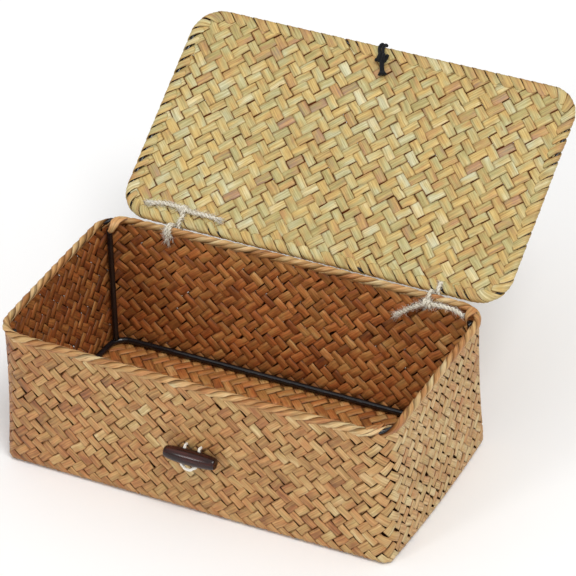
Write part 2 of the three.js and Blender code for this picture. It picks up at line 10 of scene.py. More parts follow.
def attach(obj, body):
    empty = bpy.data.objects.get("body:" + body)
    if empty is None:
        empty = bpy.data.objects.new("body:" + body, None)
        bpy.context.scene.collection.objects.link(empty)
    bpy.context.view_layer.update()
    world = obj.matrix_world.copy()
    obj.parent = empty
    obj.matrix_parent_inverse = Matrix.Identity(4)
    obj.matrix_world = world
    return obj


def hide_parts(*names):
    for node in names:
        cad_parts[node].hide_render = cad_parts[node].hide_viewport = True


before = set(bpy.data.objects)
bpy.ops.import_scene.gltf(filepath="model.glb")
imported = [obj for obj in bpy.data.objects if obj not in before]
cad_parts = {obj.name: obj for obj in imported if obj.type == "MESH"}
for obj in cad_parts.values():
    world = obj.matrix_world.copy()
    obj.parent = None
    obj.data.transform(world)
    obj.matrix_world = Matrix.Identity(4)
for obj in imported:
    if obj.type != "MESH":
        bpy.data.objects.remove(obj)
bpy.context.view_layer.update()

MM = 0.001
SEED = 41
rng = np.random.default_rng(SEED)

# Sizes of the CAD model, in millimetres
BOX_HEIGHT = 92.4
BASE_HALF_X, BASE_HALF_Y = 123.7, 66.5
TOP_HALF_X, TOP_HALF_Y = 124.1, 67.2
BASE_CORNER, RIM_CORNER = 5.0, 17.0
CORNER_EASING = 2.5
BASE_LONG_SWELL, RIM_LONG_SWELL = 0.3, 1.3
BASE_SHORT_SWELL, RIM_SHORT_SWELL = 1.8, 0.4
WALL = 2.2
FLOOR = 3.4
RIM_RADIUS = 2.2
RIM_CENTRE_Z = BOX_HEIGHT - RIM_RADIUS
WIRE_RADIUS = 1.8
RIM_WIRE_RADIUS = 1.3
GAP = 0.3
FOOT_RING_Z = FLOOR + GAP + WIRE_RADIUS
FOOT_RING_CORNER = 10.0
POST_OFF_WALL = 1.0
POST_ANGLE = math.radians(35)
LID_HALF_X, LID_HALF_Y = 125.3, 70.7
LID_CORNER = 19.0
LID_SHIFT = 5.2
LID_CENTRE_Y = -70.1
LID_REAR_Y, LID_FRONT_Y = 0.6, -140.8
LID_Z = 4.0
LID_WIRE_RADIUS = 1.3
HEM_RADIUS = 2.5
HINGE = (0.0, 70.1, 93.7)
LID_OPEN = math.radians(146)
TWINE_RADIUS, TWINE_FULL_RADIUS = 1.1, 1.35
TIE_LEFT_X, TIE_RIGHT_X = -78.85, 89.25
TIE_TURN_OFFSET = 1.3
LID_KNOT = (TIE_LEFT_X, -10.6, 1.4)
LID_TAIL_LEFT, LID_TAIL_RIGHT = 20.4, 23.6
RIM_TAIL_DOWN, RIM_TAIL_LEVEL = 20.0, 22.0
RIM_TURN_RADIUS = RIM_RADIUS + GAP + TWINE_RADIUS
HEM_TURN_RADIUS = HEM_RADIUS + GAP + TWINE_RADIUS
SECOND_TURN_OFFSET = 2.1
RIM_KNOT_INSIDE = 7.3
TOGGLE_HALF = 16.0
TOGGLE_RADIUS, TOGGLE_END_RADIUS = 4.7, 2.8
TOGGLE_HEIGHT = 44.3
TOGGLE_SHIFT = 3.0
TOGGLE_OFF_WALL = 0.5
TOGGLE_TILT = math.radians(30)
TOGGLE_CORD_RADIUS = 0.9
TOGGLE_CORD_X = 4.55
TOGGLE_CORD_RISE = 0.9
TOGGLE_CORD_SLACK = 2.4
TOGGLE_CORD_STUB = 1.5
TOGGLE_CORD_HEIGHT = TOGGLE_HEIGHT + TOGGLE_RADIUS * math.cos(TOGGLE_TILT) + TOGGLE_CORD_RISE
ELASTIC_RADIUS = 1.0
ELASTIC_STRAND_X = 1.15
ELASTIC_SHIFT = 2.0
ELASTIC_KNOT = (4.5, LID_FRONT_Y + 8.5, LID_Z - 4.0)
ELASTIC_TAIL_END = (8.5, LID_FRONT_Y + 18.5, LID_Z - 2.9)
ELASTIC_TAIL_RADIUS, ELASTIC_TAIL_SPREAD = 1.4, 2.8
ELASTIC_PIVOT_ANGLE = math.radians(38)
LOOP_LENGTH = 38.0

# Weave: cells along the long and short sides, and flat strips. A tone is a spread and a middle.
WALL_CELLS = (32, 17)
WALL_BANDS = 13.6
WALL_PITCH = 2 * (TOP_HALF_X + TOP_HALF_Y) / sum(WALL_CELLS)
LID_CELLS = (33, 19)
LID_PITCH = 2 * LID_HALF_X / LID_CELLS[0]
LID_WEAVE_SHIFT = 7.3
WALL_STRIP_WIDTH, FLOOR_STRIP_WIDTH, LID_STRIP_WIDTH = 5.3, 5.35, 5.52
WALL_LEAST_WIDTH, LID_LEAST_WIDTH, LEAST_WIDTH, MOST_WIDTH = 0.88, 0.95, 0.84, 1.1
WIDTH_SPREAD, WIDTH_WANDER = 0.035, 0.06
STRIP_THICKNESS = 0.75
RIDE = 0.68
WALL_TONE, FLOOR_TONE, LID_TONE = (0.1, 0.5), (0.12, 0.6), (0.15, 0.63)
TONE_LIMITS = (0.05, 0.95)
FEWEST_POINTS = 4

# Where a strip is sampled in each cell, how far it still rides beside a change, and how strong the painted shade
# is in the slits where strips dive under crossing strips
CELL_STEPS = np.array([-0.43, -0.27, 0.27, 0.43])
END_RIDE = 0.5
WALL_SLIT_SHADE = {1: 1.0, -1: 1.7}
LID_SLIT_SHADE = {1: 1.1, -1: 1.8}
FLOOR_SLIT_SHADE = 0.8
WALL_WANDER, LID_WANDER = 0.045, 0.03

# Fold of the walls under the base, and the change towards the two ends of the box: a darker tone at the left end,
# and on the right wall painted light (paler strips) with stronger painted shade in the slits
FOLD = 2.6
FOLD_HALF = FOLD * math.pi / 4
FOLD_RIDE, FOLD_FADE = 0.35, 7.0
UNDER_BASE = 8.0
STRIP_END_BELOW_RIM, STRIP_END_OFF_WALL = 3.4, 2.2
RIGHT_END_PAINTED_LIGHT, RIGHT_END_SLIT_SHADE, RIGHT_END_POWER = 0.24, 0.8, 8
LEFT_END_TONE, LEFT_END_POWER = -0.2, 3

# Lid: stained strips, and a darker front
LID_STAINED, LID_STAIN_TONE = 0.06, 0.16
STAIN_REACH, STAIN_CORE = (12, 40), 1.6
LID_FADE, LID_FADE_FROM, LID_FADE_REACH = 0.16, 35.0, 30.0

# Strips folded over the rim: spacing and slant in cells, their profile in section, thickness and roll, and the
# painted shade where each strip laps under its neighbour's raised edge
FOLD_ARC_STEPS = 25
RIM_FOLD_CELLS = 1.14
RIM_FOLD_SLANT, RIM_SLANT_SHARES = 4.2, (0.9, 1.1)
RIM_FOLD_WIDTH, RIM_FOLD_STEPS = 5.0, 36
RIM_FOLD_THICKNESS = 0.45
RIM_SECTION = (RIM_FOLD_THICKNESS, math.radians(-8))
RIM_FOLD_RADIUS, RIM_FOLD_ARC = RIM_RADIUS - 0.3, (-62, 242)
RIM_LEGS = ([(0.2, -4.2), (0.6, -3.0)], [(-0.6, -3.0), (-0.2, -4.2)])
RIM_FOLD_SLACK = 0.4
RIM_TONE = (0.17, 0.55)
RIM_PAINTED_LAP_SHADE = 0.95
LAP_FROM, LAP_OVER = 0.08, 0.16
RIM_WORN_PLACES = (32.48, 80.9)
RIM_WORN_REACH, RIM_WORN_SHIFT = 0.9, 4.0
RIM_CORE_RADIUS, RIM_CORE_STEPS, RIM_CORE_SIDES = RIM_RADIUS - 0.6, 12, 12
RIM_CORE_TONE = (0.05, 0.4)

# Strips that wrap three corners of the rim; the inner leg is measured from the post's far side
WRAP_WIDTH, WRAP_STEPS = 7.0, 30
WRAP_SLANTS = (14.0, 7.0, 14.0)
WRAP_LEAD = 0.35
WRAP_RADIUS, WRAP_ARC = RIM_RADIUS - 0.1, (78, 110)
WRAP_OUTER_LEG = [(1.1, 1.2)]
WRAP_INNER_LEG = [(2.4, 1.7), (0.6, 1.0), (-0.4, -0.3), (-0.5, -2.2), (0.0, -4.4)]
WRAP_TONE = (0.1, 0.4)
POST_PAST_CORNER, POST_UNDER_WRAP = 2.8, 3.0

# Strips folded round the lid's edge, and the share of them that leave a gap on each side
HEM_FOLD_WIDTH, HEM_FOLD_STEPS = 5.5, 26
HEM_SECTION = (0.55, math.radians(3))
HEM_FOLD_RADIUS, HEM_FOLD_ARC = HEM_RADIUS - 0.35, (-72, 72)
HEM_FOLD_REACH = 5.4
HEM_LEG = [(-HEM_FOLD_REACH, 0.7), (-4.6, 1.1), (-3.4, 1.5), (-2.0, 1.8)]
# Share of the lid's inside palette along a hem strip, from the inner face round to the outer; that palette's
# paleness is painted light
HEM_INSIDE = np.linspace(1.1, 0, HEM_FOLD_STEPS).clip(0, 1)[:, None]
HEM_SPREAD = 0.03
HEM_TONE, HEM_FRONT_TONE = (0.13, 0.6), (0.13, 0.5)
HEM_GAPS, HEM_GAP_WIDTHS = (0.06, 0.06, 0.3, 0.45), (0.66, 0.8)

# Wire: steps and sides of its tubes, and the swelling at the foot of a post
RING_STEPS, POST_STEPS, WIRE_SIDES = 361, 24, 14
FOOT_SWELL, FOOT_SWELL_FADE = 0.18, 60

# Twisted cords: plies, loose fibres and frayed ends. Lengths are shares of a fibre's full length.
PLY_OFFSETS, PLY_SIDES, PLY_TONES = {2: 0.5, 3: 0.54}, 7, (0.4, 0.62)
PLY_SWELL, PLY_SWELL_PACE, PLY_SWELL_START = 0.06, 1.7, 2
TWINE_LAY, CORD_LAY, CORD_KNOT_LAY = 5.2, 9.0, 4.2
TWINE_FUZZ, CORD_FUZZ = (9.0, 2.8, 0.075), (2.5, 1.2, 0.035)
FIBRE_SIDES, FIBRE_TAPER = 3, np.array([1.0, 0.9, 0.8, 0.4])
FUZZ_ROOT, FUZZ_BEND, FUZZ_LENGTHS, FUZZ_TONES = 0.8, 0.35, (0.4, 1.2), (0.35, 0.9)
FUZZ_ALONG, FUZZ_OUT = (0.6, 1.4), (0.2, 1.1)
FRAY, SHORT_FRAY = 5.5, 1.8
FRAY_COUNT, FRAY_WIDTH, FRAY_ROOT = 46, 0.85, 1.5
FRAY_BEND, FRAY_LENGTHS, FRAY_OUT, FRAY_TONES = 0.12, (0.45, 1.0), (0.05, 0.5), (0.4, 0.95)
FRAY_TAPER = np.array([0.1, 0.095, 0.08, 0.03])
FRAY_HELPER = np.array([0.3, 0.5, 0.8])
TURN_STEPS, KNOT_STEPS = 60, 44
TURN_DRIFT, SECOND_TURN_DRIFT = 0.6, -0.9
TAIL_SPACING, CORD_SPACING, SHORT_SPACING = 0.8, 0.5, 0.7

# Elastic loop: half width and share of its length at points down one side; spacing of its cord path
LOOP_SIDE = [(3.45, 0), (3.45, -0.12), (4.92, -0.4), (6.0, -0.68), (4.32, -0.92)]
LOOP_PATH_SPACING, LOOP_SPACING = 2.4, 0.8
LOOP_SIDES, ELASTIC_SIDES = 12, 10
ELASTIC_KNOT_FULLNESS, ELASTIC_TAIL_FADE = 1.1, 0.13

# Toggle barrel: rings and sides, its drilled holes, and the angle from which an edge is sharp
BARREL_RINGS, BARREL_SIDES = 41, 64
HOLE_SIDES, HOLE_CLEARANCE = 32, 0.35
SHARP_ANGLE = math.radians(38)

# Photograph: image size and the camera found from the box's edges
IMAGE_SIZE = 576
SENSOR = 36.0
FOCAL_PIXELS = 3829.0
CAMERA_AZIMUTH = math.radians(27.43)
CAMERA_ELEVATION = math.radians(34.26)
CAMERA_ROLL = math.radians(-1.84)
CAMERA_DISTANCE = 2285.4
CAMERA_TARGET = (-21.5, 100.23, 45.0)

# Light: strength, direction that it comes from and width in degrees of each lamp, and an even sky
LAMPS = {
    "key": (1.15, (0.42, -0.3, 0.85), 24),
    "fill": (0.74, (0.15, -0.3, 0.94), 110),
    "front": (0.45, (-0.38, -0.82, 0.43), 13),
}
SKY_LIGHT = 0.45
WHITE = (1.0, 1.0, 1.0, 1.0)
FLOOR_SIZE = 12
FLOOR_ROUGHNESS = 0.9


def lerp(low, high, share):
    return low + (high - low) * share


def unit(vectors):
    return vectors / np.linalg.norm(vectors, axis=-1, keepdims=True)


def run_length(points):
    """Distance along a line from its start to each of its points."""
    return np.concatenate([[0], np.cumsum(np.linalg.norm(np.diff(points, axis=0), axis=1))])


def linear(code):
    """Linear colour of a hex code."""
    channels = [int(code[i : i + 2], 16) / 255 for i in (1, 3, 5)]
    return [c / 12.92 if c <= 0.04045 else ((c + 0.055) / 1.055) ** 2.4 for c in channels] + [1.0]


def as_is(points):
    return points


def lid_to_world(points):
    """Points of the closed lid round its hinge, turned open and set on the hinge."""
    turn = np.array(Matrix.Rotation(-LID_OPEN, 3, "X"))
    return np.asarray(points, float) @ turn.T + np.array(HINGE)


def lid_outline_to_world(points):
    """The same for points of the closed lid round its middle."""
    return lid_to_world(points + (LID_SHIFT, LID_CENTRE_Y, 0))


def make_camera():
    level = math.cos(CAMERA_ELEVATION)
    sine, cosine = math.sin(CAMERA_AZIMUTH), math.cos(CAMERA_AZIMUTH)
    back = Vector((sine * level, -cosine * level, math.sin(CAMERA_ELEVATION)))
    level_right = Vector((cosine, sine, 0))
    level_up = back.cross(level_right)
    right = math.cos(CAMERA_ROLL) * level_right + math.sin(CAMERA_ROLL) * level_up
    up = math.cos(CAMERA_ROLL) * level_up - math.sin(CAMERA_ROLL) * level_right
    data = bpy.data.cameras.new("camera")
    data.sensor_width = SENSOR
    data.lens = FOCAL_PIXELS * SENSOR / IMAGE_SIZE
    camera = bpy.data.objects.new("camera", data)
    bpy.context.collection.objects.link(camera)
    place = Vector(CAMERA_TARGET) * MM + back * CAMERA_DISTANCE * MM
    camera.matrix_world = Matrix.Translation(place) @ Matrix((right, up, back)).transposed().to_4x4()
    bpy.context.scene.camera = camera


def make_stage():
    """Colour transform, even sky, sun lamps and the white floor."""
    scene = bpy.context.scene
    scene.view_settings.view_transform = "Standard"
    world = bpy.data.worlds.new("studio")
    world.use_nodes = True
    background = world.node_tree.nodes["Background"]
    background.inputs["Color"].default_value = WHITE
    background.inputs["Strength"].default_value = SKY_LIGHT
    scene.world = world
    for name, (strength, towards, degrees) in LAMPS.items():
        data = bpy.data.lights.new(name, "SUN")
        data.energy = strength
        data.angle = math.radians(degrees)
        lamp = bpy.data.objects.new(name, data)
        lamp.rotation_euler = (-Vector(towards)).to_track_quat("-Z", "Y").to_euler()
        bpy.context.collection.objects.link(lamp)
    bpy.ops.mesh.primitive_plane_add(size=FLOOR_SIZE)
    floor = bpy.context.object
    floor.name = "floor"
    material = bpy.data.materials.new("floor_white")
    material.use_nodes = True
    shader = material.node_tree.nodes["Principled BSDF"]
    shader.inputs["Base Color"].default_value = WHITE
    shader.inputs["Roughness"].default_value = FLOOR_ROUGHNESS
    floor.data.materials.append(material)


# Section of a flat strip, counter-clockwise, in shares of its width and thickness, and which points face inwards
STRIP_SECTION = np.array(
    [(0.5, 0), (0.45, 0.4), (0.2, 0.5), (-0.2, 0.5), (-0.45, 0.4), (-0.5, 0), (-0.45, -0.45), (0.45, -0.45)]
)
STRIP_INSIDE = np.array([0.5, 0, 0, 0, 0, 0.5, 1, 1])


def tube_faces(index):
    """Faces of a closed tube with flat ends, whose rings of points have these numbers."""
    after = np.roll(index, -1, axis=1)
    quads = np.stack([index[:-1], after[:-1], after[1:], index[1:]], axis=-1).reshape(-1, 4)
    return [*quads.tolist(), index[0, ::-1].tolist(), index[-1].tolist()]


def new_mesh(name, points, faces):
    mesh = bpy.data.meshes.new(name)
    mesh.from_pydata(points * MM, [], faces)
    mesh.update()
    return mesh


def shade_smooth(mesh):
    mesh.polygons.foreach_set("use_smooth", np.ones(len(mesh.polygons), bool))


class Collector:
    """Gathers rings of points into one mesh, with the attributes that the materials read."""

    def __init__(self):
        self.points, self.faces, self.place = [], [], []
        self.shades = {"tone": [], "inside": [], "painted_shade": []}
        self.count = 0

    def loft(self, rings, along, across, tone, inside=0.0, painted_shade=0.0):
        """Closed tube through rings of equal count, with places along and across it and a random number."""
        steps, sides = rings.shape[:2]
        self.faces += tube_faces(self.count + np.arange(steps * sides).reshape(steps, sides))
        self.count += steps * sides
        self.points.append(rings.reshape(-1, 3))
        place = np.empty(rings.shape)
        place[..., 0], place[..., 1], place[..., 2] = along[:, None], across, rng.random()
        self.place.append(place.reshape(-1, 3))
        for title, value in (("tone", tone), ("inside", inside), ("painted_shade", painted_shade)):
            self.shades[title].append(np.broadcast_to(value, (steps, sides)).reshape(-1))

    def strip(self, points, normals, width, tone, painted_shade):
        """Flat strip along points, its upper face towards the normals."""
        along = unit(np.gradient(points, axis=0))
        across = unit(np.cross(normals, along))
        up = np.cross(along, across)
        side = STRIP_SECTION[None, :, :1] * width[:, None, None]
        rise = STRIP_SECTION[None, :, 1:] * STRIP_THICKNESS
        self.strip_rings(points[:, None] + across[:, None] * side + up[:, None] * rise, tone, painted_shade)

    def strip_rings(self, rings, tone, painted_shade=0.0, inside=STRIP_INSIDE):
        """Strip through rings of its section."""
        self.loft(rings, run_length(rings.mean(axis=1)), STRIP_SECTION[:, 0], tone, inside, painted_shade)

    def tube(self, points, radius, sides, tone=0.5):
        """Round tube along points; the radius may change along it."""
        _, first, second = frames_along(points)
        angles = np.arange(sides) * 2 * np.pi / sides
        cosine, sine = np.cos(angles)[None, :, None], np.sin(angles)[None, :, None]
        spokes = cosine * first[:, None] + sine * second[:, None]
        radii = np.broadcast_to(radius, (len(points),)).reshape(-1, 1, 1)
        self.loft(points[:, None] + spokes * radii, run_length(points), angles, tone)

    def build(self, name, body, slot, node):
        mesh = new_mesh(name, np.concatenate(self.points), self.faces)
        shade_smooth(mesh)
        place = mesh.attributes.new("place", "FLOAT_VECTOR", "POINT")
        place.data.foreach_set("vector", np.concatenate(self.place).astype(np.float32).ravel())
        for title, values in self.shades.items():
            attribute = mesh.attributes.new(title, "FLOAT", "POINT")
            attribute.data.foreach_set("value", np.concatenate(values).astype(np.float32))
        return settle(bpy.data.objects.new(name, mesh), body, slot, node)


def settle(piece, body, slot, node):
    """Puts a piece in the scene with its slot's material, on its body, in place of its CAD node."""
    if piece.name not in bpy.context.collection.objects:
        bpy.context.collection.objects.link(piece)
    piece.data.materials.append(materials[slot])
    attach(piece, body)
    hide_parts(node)
    return piece


def frames_along(points):
    """Tangents and two cross directions that turn as little as they can along a line."""
    along = unit(np.gradient(points, axis=0))
    start = np.array([0, 0, 1.0]) if abs(along[0, 2]) < 0.9 else np.array([1.0, 0, 0])
    first = np.empty_like(points)
    first[0] = unit(start - along[0] * (start @ along[0]))
    for i in range(1, len(points)):
        first[i] = unit(first[i - 1] - along[i] * (first[i - 1] @ along[i]))
    return along, first, np.cross(along, first)


LINE_STEPS = 24


def smooth_line(points, spacing):
    """Centripetal Catmull-Rom line through points, sampled at an even spacing."""
    points = np.asarray(points, float)
    padded = np.vstack([2 * points[0] - points[1], points, 2 * points[-1] - points[-2]])
    dense = []
    for p0, p1, p2, p3 in zip(padded, padded[1:], padded[2:], padded[3:]):
        t0 = 0.0
        t1 = t0 + np.linalg.norm(p1 - p0) ** 0.5
        t2 = t1 + np.linalg.norm(p2 - p1) ** 0.5
        t3 = t2 + np.linalg.norm(p3 - p2) ** 0.5
        t = np.linspace(t1, t2, LINE_STEPS, endpoint=False)[:, None]

        def blend(first, second, start, end):
            return (end - t) / (end - start) * first + (t - start) / (end - start) * second

        a1, a2, a3 = blend(p0, p1, t0, t1), blend(p1, p2, t1, t2), blend(p2, p3, t2, t3)
        dense.append(blend(blend(a1, a2, t0, t2), blend(a2, a3, t1, t3), t1, t2))
    dense = np.vstack([*dense, points[-1:]])
    length = run_length(dense)
    wanted = np.linspace(0, length[-1], max(int(round(length[-1] / spacing)), 2) + 1)
    return np.stack([np.interp(wanted, length, dense[:, i]) for i in range(3)], axis=1)


def wall_shape(z, inset):
    """Half sizes, corner radius and swells of the wall's outer face at a height, drawn inwards."""
    share = np.clip(z / BOX_HEIGHT, 0, 1)
    radius = lerp(BASE_CORNER, RIM_CORNER, 1 - (1 - share) ** CORNER_EASING)
    return {
        "half_x": lerp(BASE_HALF_X, TOP_HALF_X, share) - inset,
        "half_y": lerp(BASE_HALF_Y, TOP_HALF_Y, share) - inset,
        "radius": np.maximum(radius - inset, BASE_CORNER / 2),
        "long_swell": lerp(BASE_LONG_SWELL, RIM_LONG_SWELL, share),
        "short_swell": lerp(BASE_SHORT_SWELL, RIM_SHORT_SWELL, share),
    }


def lid_shape(inset):
    return {
        "half_x": LID_HALF_X - inset,
        "half_y": LID_HALF_Y - inset,
        "radius": LID_CORNER - inset,
        "long_swell": 0.0,
        "short_swell": 0.0,
    }


def walk(shape, cells, u):
    """Points and outward directions round an outline.

    u counts cells from the front left corner, to the right.
    """
    counts = np.array([*cells, *cells])
    starts = np.concatenate([[0], np.cumsum(counts)[:-1]])
    u = np.mod(u, counts.sum())
    side = np.searchsorted(starts, u, side="right") - 1
    share = (u - starts[side]) / counts[side]
    is_long = side % 2 == 0
    half_along = np.where(is_long, shape["half_x"], shape["half_y"])
    half_out = np.where(is_long, shape["half_y"], shape["half_x"])
    swell = np.where(is_long, shape["long_swell"], shape["short_swell"])
    radius = shape["radius"]
    run = half_along - radius
    quarter = radius * np.pi / 4
    place = (2 * share - 1) * (run + quarter)
    along = np.clip(place, -run, run)
    turn = (place - along) / radius
    out = half_out - radius + radius * np.cos(turn) + swell * (1 - (along / run) ** 2)
    slope = np.where(turn == 0, 2 * swell * along / run**2, 0)
    spot = np.stack([along + radius * np.sin(turn), -out], axis=-1)
    facing = unit(np.stack([np.sin(turn) + slope, -np.cos(turn)], axis=-1))
    cosine, sine = np.cos(side * np.pi / 2), np.sin(side * np.pi / 2)

    def turned(pair):
        x, y = pair[..., 0], pair[..., 1]
        return np.stack([cosine * x - sine * y, sine * x + cosine * y], axis=-1)

    return turned(spot), turned(facing)


def wall_reach_y(z, x):
    shape = wall_shape(z, 0)
    share = x / (shape["half_x"] - shape["radius"])
    return shape["half_y"] + shape["long_swell"] * (1 - share * share)


def rim_centre_y(x):
    return wall_reach_y(RIM_CENTRE_Z, x) - WALL / 2


class Nodes:
    """Short hand for building a node material round a Principled shader."""

    def __init__(self, name):
        self.material = bpy.data.materials.new(name)
        self.material.use_nodes = True
        self.tree = self.material.node_tree
        self.shader = self.tree.nodes["Principled BSDF"]

    def feed(self, node, name, value):
        socket = node.inputs[name]
        if isinstance(value, bpy.types.NodeSocket):
            self.tree.links.new(value, socket)
        else:
            socket.default_value = value

    def attribute(self, name, output="Fac"):
        node = self.tree.nodes.new("ShaderNodeAttribute")
        node.attribute_name = name
        return node.outputs[output]

    def math(self, operation, first, second=0.0, clamp=False):
        node = self.tree.nodes.new("ShaderNodeMath")
        node.operation = operation
        node.use_clamp = clamp
        self.feed(node, 0, first)
        self.feed(node, 1, second)
        return node.outputs[0]

    def times(self, value, factor):
        return self.math("MULTIPLY", value, factor)

    def off_middle(self, value, factor):
        """How far a noise is from its middle, times a factor."""
        return self.times(self.math("SUBTRACT", value, 0.5), factor)

    def split(self, vector):
        node = self.tree.nodes.new("ShaderNodeSeparateXYZ")
        self.feed(node, 0, vector)
        return tuple(node.outputs)

    def places(self):
        """Distance along a strip or cord, place across or round it, and its random number."""
        return self.split(self.attribute("place", "Vector"))

    def combine(self, *parts):
        node = self.tree.nodes.new("ShaderNodeCombineXYZ")
        for index, value in enumerate(parts):
            self.feed(node, index, value)
        return node.outputs[0]

    def scaled(self, parts, factors):
        """Vector of three parts, each times its own factor."""
        return self.combine(*(self.times(part, factor) for part, factor in zip(parts, factors)))

    def noise(self, vector, detail, roughness=0.55, scale=1.0):
        node = self.tree.nodes.new("ShaderNodeTexNoise")
        for name, value in (("Vector", vector), ("Scale", scale), ("Detail", detail), ("Roughness", roughness)):
            self.feed(node, name, value)
        return node.outputs["Fac"]

    def ramp(self, value, stops):
        node = self.tree.nodes.new("ShaderNodeValToRGB")
        elements = node.color_ramp.elements
        while len(elements) < len(stops):
            elements.new(0.5)
        for element, (position, colour) in zip(elements, stops):
            element.position = position
            element.color = linear(colour)
        self.feed(node, 0, value)
        return node.outputs["Color"]

    def mix(self, share, first, second, blend="MIX"):
        node = self.tree.nodes.new("ShaderNodeMix")
        node.data_type = "RGBA"
        node.blend_type = blend
        for index, value in ((0, share), (6, first), (7, second)):
            self.feed(node, index, value)
        return node.outputs[2]

    def span(self, value, low, high, to_low, to_high):
        node = self.tree.nodes.new("ShaderNodeMapRange")
        for index, part in enumerate((value, low, high, to_low, to_high)):
            self.feed(node, index, part)
        return node.outputs[0]

    def finish(self, colour, roughness, specular, sheen, height, distance, strength):
        """Material with its surface set, and a bump of a height."""
        bump = self.tree.nodes.new("ShaderNodeBump")
        for name, value in (("Distance", distance * MM), ("Strength", strength), ("Height", height)):
            self.feed(bump, name, value)
        surface = {
            "Base Color": colour,
            "Roughness": roughness,
            "Specular IOR Level": specular,
            "Sheen Weight": sheen,
            "Normal": bump.outputs[0],
        }
        for name, value in surface.items():
            self.feed(self.shader, name, value)
        return self.material


# How fast textures change along a strip or cord, across or round it, and from one to the next
FIBRE_SCALE = (0.035, 6.5, 90.0)
BLOTCH_SCALE = (0.075, 0.7, 90.0)
SCORCH_SCALE = (0.22, 3.0, 90.0)
SPLIT_SCALE = (0.05, 8.0, 90.0)
HUE_SCALE = (0.06, 55.0, 1.0)
STREAK_SCALE = (0.35, 2.5, 60.0)
COAT_SCALE, WEAR_SCALE = 0.22, 6.0
WOOD_SCALE = (60.0, 520.0, 520.0)
BRAID_LAY, BRAID_STRANDS = 4.2, 6.0
BLOTCH_TONE, FIBRE_TONE = 1.05, 0.6
SLIT_SHADE_POWER = 1.5


def straw_material(name, outside, inside, edge_colour, painted_shade_colour):
    """Dried leaf strips: fibres, blotches, browned edges and split fibres, with painted shade in the slits and
    laps.

    Each side has a cool and a warm palette; the inside palettes paint shade on the box and light on the lid.
    """
    n = Nodes(name)
    place = along, across, seed = n.places()
    fibre = n.noise(n.scaled(place, FIBRE_SCALE), 4.0, 0.65)
    blotch = n.noise(n.scaled(place, BLOTCH_SCALE), 2.0)
    hue = n.span(n.noise(n.scaled((along, seed, across), HUE_SCALE), 1.0), 0.38, 0.62, 0.0, 1.0)
    tone = n.math("ADD", n.attribute("tone"), n.off_middle(blotch, BLOTCH_TONE))
    tone = n.math("ADD", tone, n.off_middle(fibre, FIBRE_TONE), clamp=True)
    sides = [n.mix(hue, n.ramp(tone, cool), n.ramp(tone, warm)) for cool, warm in (outside, inside)]
    colour = n.mix(n.attribute("inside"), *sides)
    edge = n.span(n.math("ABSOLUTE", across), 0.36, 0.48, 0.0, 1.0)
    scorch = n.noise(n.scaled(place, SCORCH_SCALE), 2.0)
    browned = n.times(edge, n.span(scorch, 0.42, 0.68, 0.05, 0.9))
    split = n.span(n.noise(n.scaled(place, SPLIT_SCALE), 2.0), 0.36, 0.3, 0.0, 0.75)
    split = n.times(split, n.span(scorch, 0.5, 0.6, 0.0, 1.0))
    for share in (browned, split):
        colour = n.mix(share, colour, linear(edge_colour))
    grain = n.span(fibre, 0.3, 0.62, 0.62, 1.02)
    colour = n.mix(1.0, colour, n.combine(grain, grain, grain), "MULTIPLY")
    # Painted shade: slits and laps are darkened towards the painted shade colour and lose their specular
    # reflection
    painted_shade = n.math("POWER", n.attribute("painted_shade"), SLIT_SHADE_POWER, clamp=True)
    colour = n.mix(painted_shade, colour, linear(painted_shade_colour))
    roughness, specular = n.span(fibre, 0.3, 0.7, 0.62, 0.44), n.span(painted_shade, 0.0, 0.6, 0.5, 0.0)
    return n.finish(colour, roughness, specular, 0.0, fibre, 0.25, 0.8)


def fibre_material(name, colours):
    """Twisted fibres: a tone for each strand and fine streaks along it."""
    n = Nodes(name)
    streak = n.noise(n.scaled(n.places(), STREAK_SCALE), 3.0, 0.7)
    tone = n.math("ADD", n.attribute("tone"), n.math("SUBTRACT", streak, 0.5), clamp=True)
    return n.finish(n.ramp(tone, colours), 0.9, 0.15, 0.15, streak, 0.15, 0.8)


def wire_material():
    """Dark coated wire with a satin gloss and a slightly uneven coat."""
    n = Nodes("dark_coated_wire")
    along, angle, _ = n.places()
    ring = n.combine(n.times(along, COAT_SCALE), n.math("COSINE", angle), n.math("SINE", angle))
    coat = n.noise(ring, 4.0)
    roughness = n.span(n.noise(ring, 2.0, scale=WEAR_SCALE), 0.3, 0.7, 0.13, 0.24)
    return n.finish(n.ramp(coat, WIRE_COLOURS), roughness, 0.6, 0.0, coat, 0.3, 0.5)


def wood_material():
    """Dark varnished wood with red streaks along the grain."""
    n = Nodes("dark_toggle_wood")
    place = n.split(n.tree.nodes.new("ShaderNodeTexCoord").outputs["Object"])
    grain = n.noise(n.scaled(place, WOOD_SCALE), 5.0, 0.6)
    roughness = n.span(grain, 0.3, 0.7, 0.17, 0.25)
    return n.finish(n.ramp(grain, WOOD_COLOURS), roughness, 0.4, 0.0, grain, 0.06, 0.3)


def elastic_material():
    """Black round elastic with a fine braided cover."""
    n = Nodes("black_elastic")
    along, angle, _ = n.places()
    lay, turn = n.times(along, BRAID_LAY), n.times(angle, BRAID_STRANDS)
    left, right = (n.math("SINE", n.math(way, lay, turn)) for way in ("ADD", "SUBTRACT"))
    braid = n.times(left, right)
    colour = n.ramp(n.span(braid, -1, 1, 0, 1), ELASTIC_COLOURS)
    return n.finish(colour, 0.8, 0.25, 0.05, braid, 0.2, 0.7)


def palettes(places, *rows):
    """Colour stops of one palette or more, each from dark to pale."""
    return [list(zip(places, row.split())) for row in rows]
